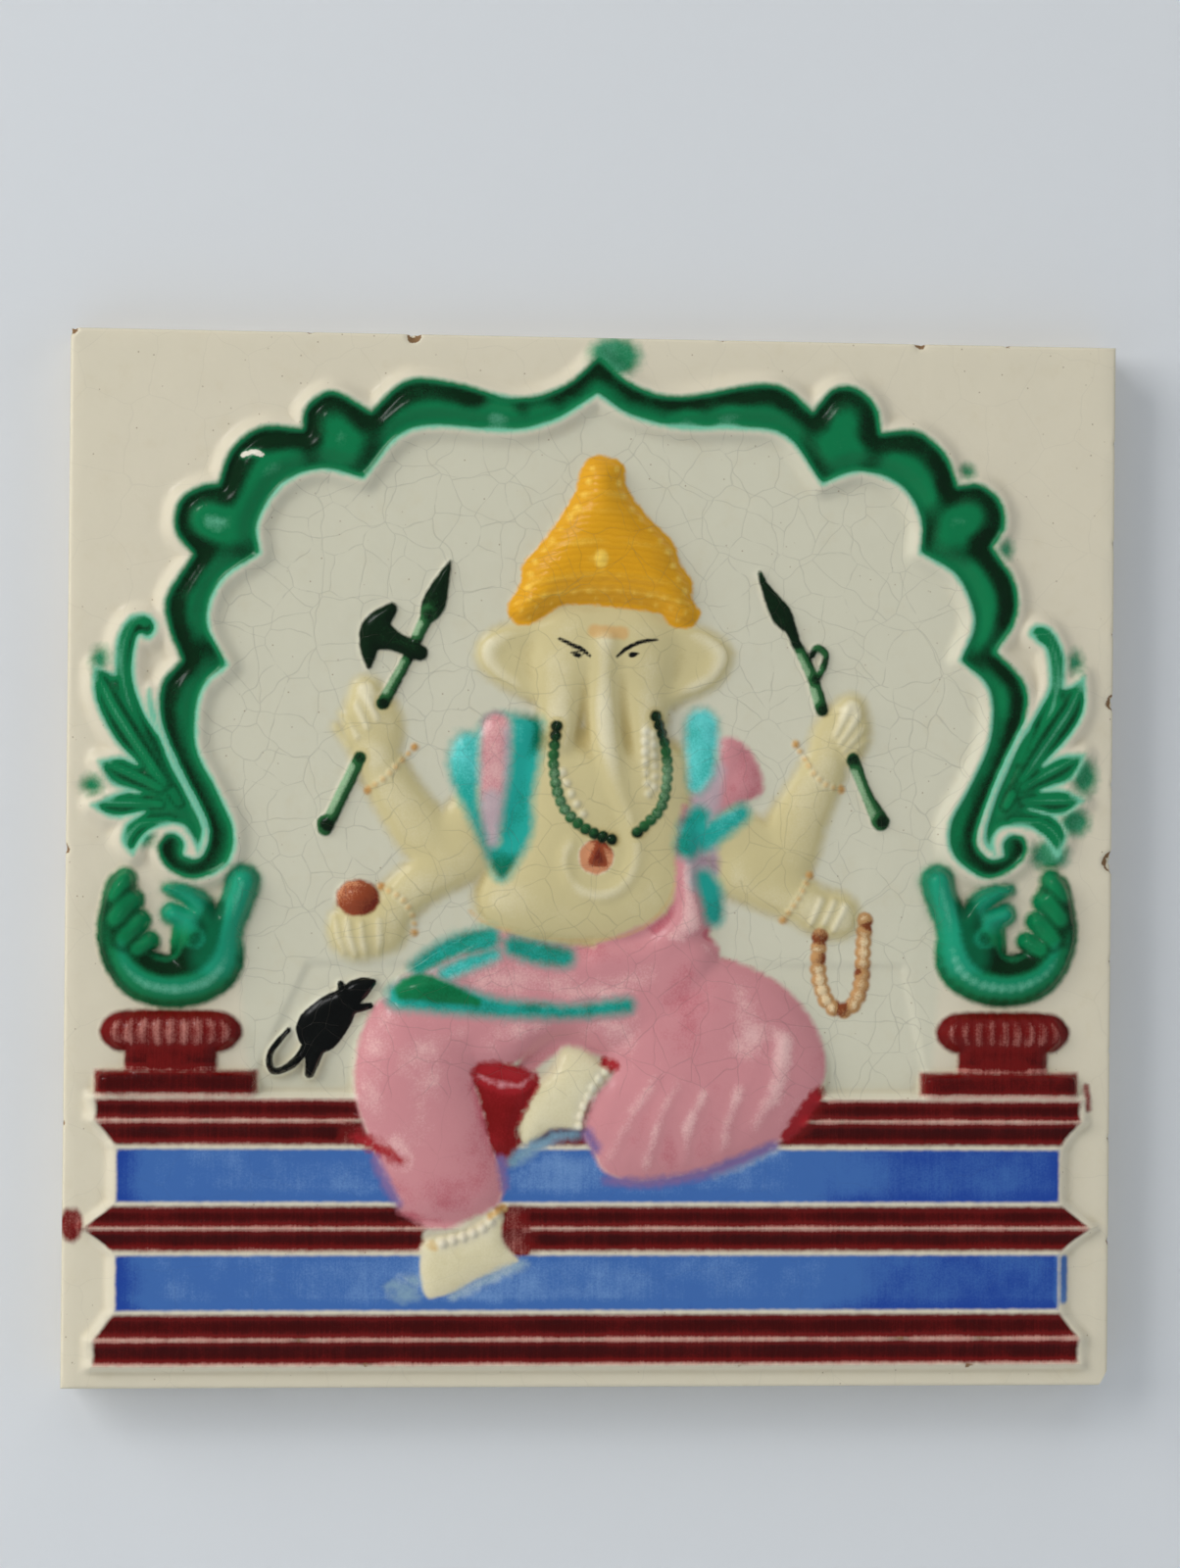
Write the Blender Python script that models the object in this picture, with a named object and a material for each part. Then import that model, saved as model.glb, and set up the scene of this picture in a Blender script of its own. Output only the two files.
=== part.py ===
# Embossed ceramic tile: a square press-moulded tile with a seated elephant-headed figure
# under a foiled arch, between two sea creatures on fluted bulbs, above a banded base.
# The back lies on Y = 0 and the relief faces -Y. X runs to the right and Z up, in metres.

import bmesh
import bpy
import numpy as np

MM = 0.001
TILE_NAME = "embossed_tile"

# Slab
TILE_WIDTH = 152.4 * MM
TILE_HEIGHT = 152.4 * MM
TILE_THICKNESS = 7.8 * MM  # from the back to the plain margin
ARRIS = 0.6 * MM  # chamfer round the front edge
CHIP_WIDTH = 1.3 * MM  # piece missing from the lower right corner
CHIP_HEIGHT = 2.4 * MM

# Keying grooves in the back, with a plain border and a land on the centre line
GROOVE_COUNT = 6
GROOVE_WIDTH = 7.0 * MM
GROOVE_DEPTH = 1.2 * MM
BACK_BORDER = 13.0 * MM

# Base: three fluted mouldings with two plain bands between them
SIDE_MARGIN = 4.4 * MM  # from the side of the tile to the end of a moulding
BOTTOM_MARGIN = 3.6 * MM
MOULDING_HEIGHT = 8.2 * MM
BAND_HEIGHT = 6.9 * MM
BAND_SETBACK = 3.2 * MM  # how much further in the bands end
NOSING = 1.6 * MM  # how far the middle moulding's point passes the others
BAND_RISE = 1.3 * MM
RIDGE_RISE = 2.3 * MM
LEDGE_RISE = 1.7 * MM
FLUTE_RISE = 0.9 * MM
LEDGE_INSET = 0.5 * MM  # from a moulding's edge to the crest of its ledge
END_SLOPE = 1.7 * MM

# Arch, leaves and creatures
ARCH_SIDE_MARGIN = 3.8 * MM  # from the side of the tile to the outermost leaf tip
ARCH_TOP_MARGIN = 2.9 * MM
RIM_RISE = 1.5 * MM
RIM_SLOPE = 1.6 * MM
FLOOR_RISE = 0.5 * MM
ARCH_DOME = 1.2 * MM
LEAF_DOME = 1.0 * MM
CREATURE_RISE = 2.3 * MM
BULB_RISE = 2.1 * MM
PLINTH_RISE = 1.9 * MM
THRONE_SINK = 0.35 * MM
FILLET = 0.3 * MM  # how far the relief's feet run out over the ground

# Figure
FIGURE_HEIGHT = 121.8 * MM  # from the toe to the top of the crown
FIGURE_RISE = 3.0 * MM
SEAT_RUN = 10.0 * MM  # the legs come forward over this height, down to the top of the base
SEAT_SHARE = 0.75  # share of that step which the legs' own thickness loses
SHARES = {  # heights of the figure's parts as shares of its rise
    "crown": 0.95, "jewel": 1.12, "face": 0.8, "ears": 0.4, "trunk": 1.0, "torso": 0.82,
    "arms": 0.42, "hands": 0.44, "fingers": 0.5, "shawls": 0.5, "sash": 0.75, "lap": 0.72,
    "leg": 0.95, "knee": 1.0, "drape": 0.45, "feet": 0.6, "beads": 0.2, "held": 0.3,
}
CREASE_DEPTH = 0.17 * MM
TRIM_RISE = 0.35 * MM
RING_RISE = 0.22 * MM  # each band round the crown

# Mesh
GRID_STEP = 0.42 * MM
FRONT_TRIANGLES = 8600

# The drawings below are in millimetres on a tile of the usual six inches, with X from the
# centre line and Z from the centre. A third value of 1 marks a sharp corner.
DRAWN_BASE_TOP = -34.2
DRAWN_ARCH_HALF = 72.4
DRAWN_ARCH_TOP = 73.3
DRAWN_FIGURE_HEIGHT = 121.8
FAR = -9.0
SLOPES = {  # from the edge of a part of the figure to its full height, as drawn
    "crown": 5.5, "ears": 4.0, "torso": 9.0, "shawls": 4.0, "lap": 4.0, "leg": 8.0, "knee": 11.0,
    "drape": 2.0, "feet": 3.2,
}

ARCH_LEFT = (
    (-0.3, 67.7, 1), (-6.7, 63.7), (-13.3, 62.2), (-23.3, 62.7), (-28.9, 61.2), (-34.0, 55.0, 1),
    (-40.3, 56.2), (-45.6, 53.9), (-49.0, 48.6), (-48.8, 44.0, 1), (-54.3, 39.8), (-56.1, 34.0),
    (-53.3, 27.8, 1), (-56.9, 24.0), (-57.5, 16.3), (-54.7, 10.3), (-52.1, 4.3), (-53.0, -0.7),
    (-57.4, -2.8), (-61.2, -1.6), (-62.9, 1.2), (-61.9, 3.3), (-60.3, 3.6), (-59.1, 2.3), (-59.3, 0.6, 1),
    (-57.5, 0.0), (-56.2, 1.4), (-56.0, 4.3), (-58.3, 9.0), (-61.0, 14.4), (-62.8, 20.0),
    (-62.6, 25.0), (-59.8, 28.5, 1), (-61.7, 33.3), (-62.0, 37.6), (-58.3, 43.7, 1), (-60.9, 47.2),
    (-60.3, 51.4), (-57.3, 53.5), (-54.8, 54.0, 1), (-52.9, 59.0), (-48.6, 62.2), (-42.8, 62.0, 1),
    (-42.3, 65.2), (-38.6, 67.5), (-33.0, 64.7, 1), (-28.0, 69.2), (-21.5, 69.1), (-12.0, 67.0),
    (-5.0, 69.0), (-0.2, 73.3, 1),
)
ARCH_RIGHT = (
    (-0.3, 67.7, 1), (4.7, 64.7), (11.7, 63.1), (20.0, 63.2), (27.2, 62.1), (32.6, 55.3, 1),
    (38.5, 57.2), (44.3, 55.0), (47.2, 50.2), (47.1, 45.5, 1), (52.6, 42.0), (55.1, 35.8),
    (53.2, 29.9, 1), (57.4, 25.6), (57.6, 18.6), (54.6, 11.4), (51.8, 6.0), (52.4, 1.3),
    (56.8, -1.8), (60.7, -0.8), (63.2, 1.8), (62.7, 4.0), (60.9, 4.5), (59.6, 3.2), (59.9, 1.3, 1),
    (58.0, 0.9), (56.3, 2.2), (55.9, 4.6), (58.0, 10.2), (60.8, 16.4), (62.9, 21.8), (62.7, 26.6),
    (58.5, 31.2, 1), (61.3, 36.0), (61.2, 41.2), (57.8, 46.5, 1), (59.6, 49.6), (58.9, 53.2),
    (55.9, 55.6), (52.6, 55.3, 1), (50.7, 59.9), (46.6, 63.2), (41.2, 62.9, 1), (40.4, 66.7),
    (37.6, 69.3), (34.2, 69.2), (31.2, 65.8, 1), (27.3, 69.0), (22.6, 69.6), (11.7, 67.6), (5.0, 69.2),
    (-0.2, 73.3, 1),
)
LEAVES_LEFT = (
    (-57.2, 0.9, 1), (-56.5, 3.0), (-56.8, 5.7), (-60.8, 13.4), (-63.2, 19.0), (-64.4, 24.2, 1),
    (-64.4, 21.4), (-63.2, 18.2, 1), (-65.2, 21.4), (-66.7, 26.4), (-66.1, 31.8), (-64.6, 31.5),
    (-63.5, 33.0), (-64.6, 34.8), (-67.2, 34.5), (-69.0, 31.4), (-69.3, 26.2, 1), (-70.9, 26.9),
    (-72.3, 27.4, 1), (-72.1, 22.9), (-69.6, 17.6), (-65.9, 13.4, 1), (-68.4, 14.4), (-71.5, 13.9, 1),
    (-69.6, 10.8), (-65.4, 9.4, 1), (-68.2, 9.4), (-72.4, 7.6, 1), (-69.3, 5.9), (-64.8, 6.7, 1),
    (-67.4, 4.9), (-68.0, 2.4), (-66.6, 0.6, 1), (-64.6, 3.6), (-61.6, 4.9), (-59.4, 4.7), (-58.0, 2.8),
)
LEAVES_RIGHT = (
    (58.5, 1.6, 1), (56.9, 4.0), (58.6, 10.6), (61.9, 17.9), (64.5, 22.3, 1), (66.4, 26.4),
    (65.9, 31.4), (64.4, 32.9), (63.4, 34.0), (64.6, 35.2), (66.9, 34.2), (68.5, 30.5), (68.5, 26.0, 1),
    (69.9, 26.4), (71.5, 27.8, 1), (71.6, 22.9), (69.4, 18.9), (65.4, 14.5, 1), (68.3, 16.0),
    (71.7, 16.3, 1), (69.7, 12.7), (65.2, 10.9, 1), (68.6, 11.0), (71.6, 9.6, 1), (68.1, 7.4),
    (63.4, 8.3, 1), (67.0, 7.3), (69.0, 4.5), (67.8, 1.4, 1), (65.9, 4.2), (62.9, 5.7), (59.6, 5.5),
    (58.3, 3.8),
)

# Strokes are rows of (x, z, half width) along a limb.
CREATURE = (
    ((67.6, -3.6, 2.2), (67.9, -10.4, 3.0), (64.9, -15.6, 3.6), (59.4, -16.8, 3.8), (54.6, -14.4, 4.2),
     (54.2, -10.6, 3.6)),
    ((54.2, -13.0, 3.4), (52.6, -8.6, 2.5), (51.0, -5.2, 2.2), (50.2, -2.5, 2.3)),
    ((57.4, -12.6, 3.0), (57.2, -9.8, 3.0), (57.4, -8.4, 2.0)),
    ((54.6, -8.6, 1.3), (56.2, -5.8, 1.5), (58.6, -4.3, 1.2), (61.0, -3.6, 0.6)),
    ((57.4, -8.2, 1.4), (60.2, -7.2, 1.5)),
)
CREATURE_LOBES = (
    ((67.0, -2.0, 1.7), (68.4, -4.6, 2.0)),
    ((66.4, -4.9, 1.7), (68.4, -7.6, 2.1)),
    ((65.2, -7.9, 1.8), (67.4, -10.8, 2.2)),
    ((63.9, -11.0, 1.8), (65.6, -13.2, 2.2)),
)
CREATURE_CENTRE = (60.3, -9.5)
CREATURE_EYE = (57.2, -10.7, 1.6)  # x, z and radius of its ring
BULB_CENTRES = ((-60.8, -24.8, 10.4), (60.1, -24.6, 9.9))  # x, z and half width
BULB_HALF_HEIGHT = 2.8
BULB_RIBS = 10
FOOT_HALF_WIDTH = 6.2
PLINTHS = ((-71.7, -48.3), (47.9, 71.4))  # from x to x
PLINTH_TOP = -30.8

CROWN = (
    (0.4, 58.8), (3.4, 57.6), (3.6, 55.3), (4.8, 52.7), (7.7, 49.4), (10.7, 46.4), (12.0, 42.9),
    (13.5, 41.0), (13.6, 38.2), (14.8, 36.2), (13.6, 34.6), (11.0, 34.5), (8.8, 36.4), (3.5, 37.1),
    (-2.0, 37.6), (-6.0, 37.0), (-9.4, 34.7), (-12.0, 34.9), (-12.8, 36.9), (-10.9, 40.3), (-10.7, 43.0),
    (-8.4, 45.6), (-5.2, 50.1), (-3.2, 53.6), (-2.4, 56.6), (-1.4, 58.2),
)
CROWN_RINGS = (39.4, 41.6, 46.4, 50.9, 53.3)  # heights at the centre line
JEWEL = (0.3, 43.9, 1.7, 2.1)  # x, z and the two half widths
EARS = (
    ((-5.0, 34.6), (-9.6, 35.0), (-14.2, 34.0), (-17.2, 31.6), (-17.2, 28.6), (-14.8, 26.0), (-10.8, 23.8),
     (-5.0, 21.8)),
    ((7.0, 34.8), (11.4, 35.0), (15.8, 34.0), (19.4, 31.4), (19.4, 28.6), (17.2, 25.6), (13.2, 23.6),
     (7.0, 21.6)),
)
HEAD = (
    ((-3.0, 30.8, 7.2), (5.0, 30.8, 7.2)),
    ((-4.6, 27.5, 5.4), (-5.0, 22.0, 3.8), (-5.2, 17.0, 2.6)),
    ((6.2, 27.5, 5.4), (6.8, 21.0, 3.8), (7.0, 15.0, 2.6)),
)
TRUNK = (
    (1.0, 32.0, 2.6), (0.9, 25.0, 3.1), (1.4, 18.0, 3.2), (2.6, 12.0, 3.1), (4.6, 6.6, 2.7),
    (5.8, 2.0, 2.4), (4.6, -2.4, 2.1), (0.8, -4.7, 1.9), (-3.2, -3.2, 1.8), (-4.7, 0.2, 1.6),
    (-3.6, 3.0, 1.3),
)
TORSO = (
    (-11.0, 16.0), (-12.0, 8.0), (-15.0, 1.0), (-17.0, -4.6), (-15.6, -8.8), (-10.0, -11.6), (-2.0, -12.4),
    (6.0, -12.0), (12.0, -9.4), (14.6, -4.0), (14.8, 3.0), (14.4, 10.0), (12.6, 16.0), (6.0, 19.0),
    (-5.0, 19.0),
)
ARMS = (
    ((-17.0, 6.5, 3.8), (-22.2, 2.4, 3.9), (-27.4, 7.4, 3.3), (-31.6, 14.6, 2.8)),
    ((-18.5, 0.8, 3.2), (-25.2, -3.0, 2.9), (-29.8, -7.4, 2.7)),
    ((18.0, 4.5, 4.0), (26.2, 0.8, 4.6), (29.8, 6.6, 3.6), (33.2, 13.6, 2.8)),
    ((21.5, -1.5, 3.4), (26.0, -3.6, 3.2), (30.6, -5.6, 2.8)),
)
HANDS = (
    ((-33.4, 24.2, 1.8), (-32.4, 19.4, 3.9), (-32.2, 16.4, 3.0)),
    ((-34.2, -10.0, 3.8), (-30.8, -9.6, 3.4)),
    ((37.2, 22.4, 1.8), (35.8, 18.6, 3.6), (34.2, 16.2, 2.6)),
    ((35.4, -7.6, 2.9), (32.0, -6.6, 2.8)),
)
FINGERS = (  # tip and root of each hand's first finger, then of its last
    ((-37.4, 21.6), (-33.2, 19.4), (-36.6, 17.0), (-32.6, 15.0)),
    ((-37.4, -8.0), (-36.4, -13.2), (-29.8, -7.8), (-30.0, -13.4)),
    ((35.2, 22.6), (39.0, 20.6), (33.8, 17.2), (37.8, 15.6)),
    ((35.0, -4.4), (38.6, -6.4), (32.6, -8.4), (35.4, -10.8)),
)
FINGER_COUNTS = (4, 5, 5, 4)
FINGER_HALF_WIDTH = 0.9
SHAWL_LEFT = (
    (-20.9, 16.4), (-19.4, 18.4), (-17.4, 18.6), (-15.4, 21.0), (-11.6, 21.2), (-8.4, 20.6), (-7.9, 18.0),
    (-9.4, 9.0), (-9.4, 4.4), (-12.4, -1.6), (-14.3, -2.3), (-16.2, 2.0), (-19.9, 9.6), (-21.2, 13.2),
)
SHAWL_RIGHT = (
    (13.6, 20.0), (15.4, 20.9), (17.3, 19.8), (17.7, 18.2), (20.4, 17.8), (23.0, 15.0), (24.4, 11.6),
    (23.6, 9.6), (19.4, 6.6), (17.2, 1.6), (18.7, -4.4), (17.6, -9.6), (15.6, -9.0), (13.0, -1.0),
    (11.8, 3.0), (12.8, 6.6), (13.6, 10.8),
)
SASH = ((13.2, 4.0, 1.8), (13.2, -3.0, 2.0), (13.4, -8.6, 3.2), (8.2, -13.4, 3.0), (0.6, -14.6, 2.8))
LAP = (
    (-29.4, -19.4), (-25.4, -15.4), (-20.6, -12.4), (-15.2, -10.0), (-9.0, -11.6), (-1.0, -12.4),
    (6.0, -12.0), (12.0, -9.0), (18.0, -12.5), (16.0, -20.0), (8.0, -26.4), (2.4, -27.4), (-2.6, -25.2),
    (-7.0, -25.8), (-11.0, -28.8), (-17.0, -29.6), (-24.0, -26.0),
)
LEG_LEFT = (
    (-29.2, -19.6), (-33.0, -24.0), (-34.3, -30.0), (-33.8, -35.6), (-31.8, -41.0), (-29.8, -46.0),
    (-26.4, -50.4), (-22.0, -51.8), (-17.6, -51.2), (-13.8, -49.4), (-13.2, -46.0), (-14.4, -42.0),
    (-15.6, -37.0), (-17.2, -31.6), (-15.0, -27.6), (-10.0, -25.0), (-8.0, -22.4), (-16.0, -20.0),
)
TRIMS = (
    ((-28.6, -17.6, 1.2), (-24.0, -14.4, 1.2), (-19.8, -12.2, 1.1), (-15.2, -11.0, 1.1), (-10.0, -12.4, 1.2),
     (-4.4, -13.6, 1.2)),
    ((-28.6, -18.6, 1.3), (-25.4, -18.2, 1.2), (-20.0, -19.4, 1.1), (-14.0, -21.0, 1.1), (-7.0, -21.6, 1.1),
     (0.0, -21.6, 1.1), (5.0, -20.4, 1.1)),
)
KNEE_RIGHT = (
    (16.2, -13.9), (22.4, -15.2), (28.2, -18.6), (32.4, -24.0), (33.8, -29.6), (32.2, -34.0),
    (28.6, -39.2), (22.8, -42.2), (15.8, -44.8), (6.4, -46.2), (1.8, -44.6), (0.2, -41.8),
    (-1.2, -38.8), (0.0, -34.4), (3.0, -30.4), (2.0, -25.4), (5.2, -20.4), (9.6, -17.0),
)
KNEE_FOLDS = (
    ((4.4, -31.0), (1.6, -36.0), (2.6, -43.4)),
    ((7.4, -30.4), (4.6, -37.0), (5.6, -44.8)),
    ((11.2, -28.6), (9.4, -36.0), (9.4, -45.0)),
    ((16.4, -29.0), (14.6, -37.0), (14.0, -44.0)),
    ((24.0, -23.0), (23.0, -33.0), (19.4, -41.8)),
)
SHAWL_FOLDS = (
    ((-17.8, 17.6), (-16.8, 9.0), (-14.8, 0.6)),
    ((-12.6, 20.6), (-12.4, 10.0), (-13.0, 2.6)),
    ((17.6, 18.4), (17.4, 12.0), (14.2, 5.0)),
    ((21.6, 15.6), (18.4, 9.0), (15.0, -1.0)),
)
FOLD_HALF_WIDTH = 1.9
FOOT_FOLDED = (
    (-3.6, -25.8), (0.8, -27.6), (1.7, -30.4), (-0.5, -34.4), (-2.3, -38.6), (-6.0, -40.8), (-10.0, -41.7),
    (-10.9, -38.6), (-9.1, -34.2), (-6.0, -29.2),
)
FOOT_HANGING = (
    (-25.8, -51.0), (-25.8, -55.0), (-25.2, -59.0), (-24.9, -62.2), (-22.6, -63.2), (-19.6, -61.6),
    (-16.4, -59.8), (-11.6, -58.5), (-9.9, -57.0), (-11.6, -53.6), (-12.4, -49.6), (-18.0, -48.0),
)
DRAPE = ((-17.4, -30.4), (-13.0, -29.4), (-8.6, -31.6), (-10.6, -37.4), (-12.6, -44.0), (-15.0, -39.0))
BEAD_LINES = (
    ((-5.9, 19.6), (-6.3, 14.0), (-5.0, 8.2), (-1.6, 4.8), (2.2, 3.3)),
    ((8.5, 21.2), (10.0, 17.0), (10.2, 11.8), (9.1, 7.6), (5.9, 4.4)),
    ((33.0, -10.6), (32.8, -15.2), (34.2, -20.2), (37.0, -21.3), (39.0, -18.6), (39.4, -12.8), (39.6, -8.2)),
    ((2.0, -30.4), (0.0, -33.0), (-1.4, -35.6), (-2.2, -38.2)),
    ((-23.4, -55.0), (-18.6, -53.8), (-14.6, -51.8), (-12.6, -50.2)),
)
BEAD_HALF_WIDTHS = (0.75, 0.75, 1.05, 0.6, 0.7)
WEAPONS = (
    ((-21.4, 43.3, 0.2), (-22.8, 39.8, 1.2), (-23.8, 36.9, 1.7), (-24.8, 34.8, 0.8)),
    ((-24.6, 35.6, 0.9), (-27.6, 28.9, 0.8), (-31.0, 22.6, 0.9)),
    ((-34.2, 14.8, 0.9), (-38.6, 5.4, 1.0), (-39.0, 5.2, 1.3)),
    ((-25.6, 30.0, 1.1), (-29.6, 31.8, 1.5), (-31.6, 32.6, 2.2)),
    ((-29.8, 36.4, 0.8), (-32.2, 33.6, 1.9), (-33.0, 30.6, 1.3), (-33.0, 28.0, 0.4)),
    ((23.7, 42.3, 0.3), (24.6, 40.0, 0.7), (26.8, 36.4, 1.5), (28.4, 33.9, 0.8), (29.2, 31.8, 0.7)),
    ((29.2, 32.0, 0.7), (31.4, 27.6, 0.8), (33.0, 22.4, 0.9)),
    ((31.4, 30.4, 0.5), (32.2, 31.5, 0.5), (33.5, 30.4, 0.5), (32.9, 28.2, 0.5), (32.0, 26.8, 0.5)),
    ((37.6, 15.2, 1.0), (39.6, 10.4, 0.8), (41.8, 6.2, 1.3)),
)
SWEETS = ((-34.3, -5.4, 3.1, 2.6, 0.62), (0.0, 0.8, 2.5, 2.5, 0.98))  # x, z, half widths and share of rise
MOUSE = (
    ((-39.6, -24.4, 2.6), (-37.8, -22.4, 2.3), (-36.0, -20.4, 1.5), (-34.0, -18.6, 1.2), (-32.0, -17.6, 0.4)),
    ((-40.0, -26.4, 1.6), (-41.0, -30.8, 0.7)),
    ((-35.6, -21.6, 0.8), (-32.4, -21.0, 0.5)),
    ((-36.4, -19.6, 0.5), (-36.6, -17.9, 0.5)),
    ((-41.0, -26.2, 0.7), (-43.4, -29.4, 0.6), (-46.2, -30.4, 0.5), (-46.6, -27.8, 0.45),
     (-44.0, -24.5, 0.35)),
)
THRONE = ((-41.4, -14.8, 1), (45.4, -14.8, 1), (49.4, -34.2, 1), (-50.4, -34.2, 1))


def clear_scene():
    for old in list(bpy.data.objects):
        bpy.data.objects.remove(old, do_unlink=True)


def smooth_line(points, closed, pieces=5):
    # A Catmull-Rom curve through the points, broken at the sharp ones. Any value after the
    # first two follows along, except the corner mark of a closed outline.
    places = np.array([(p[:2] if closed else p) for p in points], float)
    sharp = [closed and len(p) > 2 for p in points]
    count = len(points)
    spans = count if closed else count - 1
    found = []
    for i in range(spans):
        start, end = places[i], places[(i + 1) % count]
        before = places[i - 1] if closed or i > 0 else start
        after = places[(i + 2) % count] if closed or i + 2 < count else end
        leaving = (end - start) if sharp[i] else 0.5 * (end - before)
        arriving = (end - start) if sharp[(i + 1) % count] else 0.5 * (after - start)
        for t in np.linspace(0.0, 1.0, pieces, endpoint=False):
            rest = 1.0 - t
            found.append(start * (1 + 2 * t) * rest * rest + leaving * t * rest * rest
                         + end * t * t * (3 - 2 * t) - arriving * t * t * rest)
    if not closed:
        found.append(places[-1])
    return np.array(found)


class Field:
    # A regular grid of heights in drawn millimetres, which the shapes are laid on.

    def __init__(self, columns, rows):
        self.columns = columns
        self.rows = rows

    def near(self, line, reach):
        # The part of the grid within reach of a line.
        low = line[:, :2].min(axis=0) - reach
        high = line[:, :2].max(axis=0) + reach
        across = slice(*np.searchsorted(self.columns, (low[0], high[0])))
        up = slice(*np.searchsorted(self.rows, (low[1], high[1])))
        x, z = np.meshgrid(self.columns[across], self.rows[up])
        return (up, across), x, z

    def filled(self, value):
        return np.full((len(self.rows), len(self.columns)), value)

    def inside(self, points, reach=3.0):
        # Distance from the edge of a closed outline, positive inside it.
        line = smooth_line(points, True)
        part, x, z = self.near(line, reach)
        nearest = np.full(x.shape, 1e9)
        within = np.zeros(x.shape, bool)
        for (ax, az), (bx, bz) in zip(line, np.roll(line, -1, axis=0)):
            run_x, run_z = bx - ax, bz - az
            length = run_x * run_x + run_z * run_z + 1e-12
            t = np.clip(((x - ax) * run_x + (z - az) * run_z) / length, 0.0, 1.0)
            nearest = np.minimum(nearest, (x - ax - t * run_x) ** 2 + (z - az - t * run_z) ** 2)
            crosses = (az > z) != (bz > z)
            if bz != az:
                within ^= crosses & (x < run_x * (z - az) / (bz - az) + ax)
        found = self.filled(FAR)
        found[part] = np.where(within, 1.0, -1.0) * np.sqrt(nearest)
        return found

    def limb(self, points):
        # 1 on the axis of a stroke, 0 on its edge and less beyond it.
        line = smooth_line(points, False)
        part, x, z = self.near(line, line[:, 2].max() + 2.0)
        best = np.full(x.shape, FAR)
        for (ax, az, ar), (bx, bz, br) in zip(line[:-1], line[1:]):
            run_x, run_z = bx - ax, bz - az
            length = run_x * run_x + run_z * run_z + 1e-12
            t = np.clip(((x - ax) * run_x + (z - az) * run_z) / length, 0.0, 1.0)
            apart = np.hypot(x - ax - t * run_x, z - az - t * run_z)
            best = np.maximum(best, 1.0 - apart / (ar + t * (br - ar)))
        found = self.filled(FAR)
        found[part] = best
        return found

    def oval(self, x, z, half_width, half_height):
        apart = np.hypot((self.columns[None, :] - x) / half_width, (self.rows[:, None] - z) / half_height)
        return 1.0 - apart

    def block(self, left, right, bottom, top):
        # Distance from the edge of an upright rectangle, positive inside it.
        across = np.minimum(self.columns - left, right - self.columns)[None, :]
        up = np.minimum(self.rows - bottom, top - self.rows)[:, None]
        return np.minimum(across, up)

    def softened(self, heights, reach):
        # The heights averaged over their surroundings, with bell-shaped weights.
        pitch = self.columns[1] - self.columns[0]
        spread = int(np.ceil(2.5 * reach / pitch))
        weights = np.exp(-0.5 * (np.arange(-spread, spread + 1) * pitch / reach) ** 2)
        weights = weights / weights.sum()
        rows, columns = heights.shape
        padded = np.pad(heights, spread, mode="edge")
        across = sum(w * padded[:, i:i + columns] for i, w in enumerate(weights))
        return sum(w * across[i:i + rows] for i, w in enumerate(weights))

    def pillow(self, points, slope, reach=0.7):
        # 0 at the edge of a closed outline and 1 from slope inwards, with no sharp ridges.
        edge = np.clip(self.inside(points) / slope, -1.0, 1.0)
        return np.minimum(self.softened(edge, reach), edge + 0.35)


def swell(share, rise):
    # A rounded mound: rise on the axis, nothing at the edge and falling away outside.
    held = np.clip(share, 0.0, 1.0)
    return np.where(share > 0.0, rise * (held * (2.0 - held)) ** 0.7, 2.0 * share)


def ease(low, high, value):
    t = np.clip((value - low) / (high - low), 0.0, 1.0)
    return t * t * (3.0 - 2.0 * t)


def melt(first, second, width):
    # The higher of two heights, with a fillet where they cross.
    t = np.clip(0.5 + 0.5 * (first - second) / width, 0.0, 1.0)
    return second * (1.0 - t) + first * t + width * t * (1.0 - t)


def melt_all(shapes, width=0.5):
    found = shapes[0]
    for shape in shapes[1:]:
        found = melt(found, shape, width)
    return found


def mirrored(strokes, shift_x, shift_z):
    return tuple(tuple((shift_x - x, z + shift_z, r) for x, z, r in line) for line in strokes)


def basin(field, points, dome, reach):
    # A raised rim along the edge of an outline, and a domed floor within it.
    edge = field.inside(points)
    crest, slope = -0.3, RIM_SLOPE / MM
    rim, floor = RIM_RISE / MM, FLOOR_RISE / MM
    outside = rim * ease(crest - slope, crest, edge)
    within = floor + (rim - floor) * (1.0 - ease(crest, 0.8, edge))
    within = within + dome * ease(0.5, reach, field.softened(np.clip(edge, 0.0, reach), 0.5))
    return np.where(edge < crest, np.where(edge > crest - slope, outside, FAR), within)


def arch(field):
    band = basin(field, ARCH_RIGHT + ARCH_LEFT[-2:0:-1], ARCH_DOME / MM, 3.2)
    leaves = [basin(field, points, LEAF_DOME / MM, 2.0) for points in (LEAVES_LEFT, LEAVES_RIGHT)]
    return np.maximum.reduce([band] + leaves)


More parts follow.
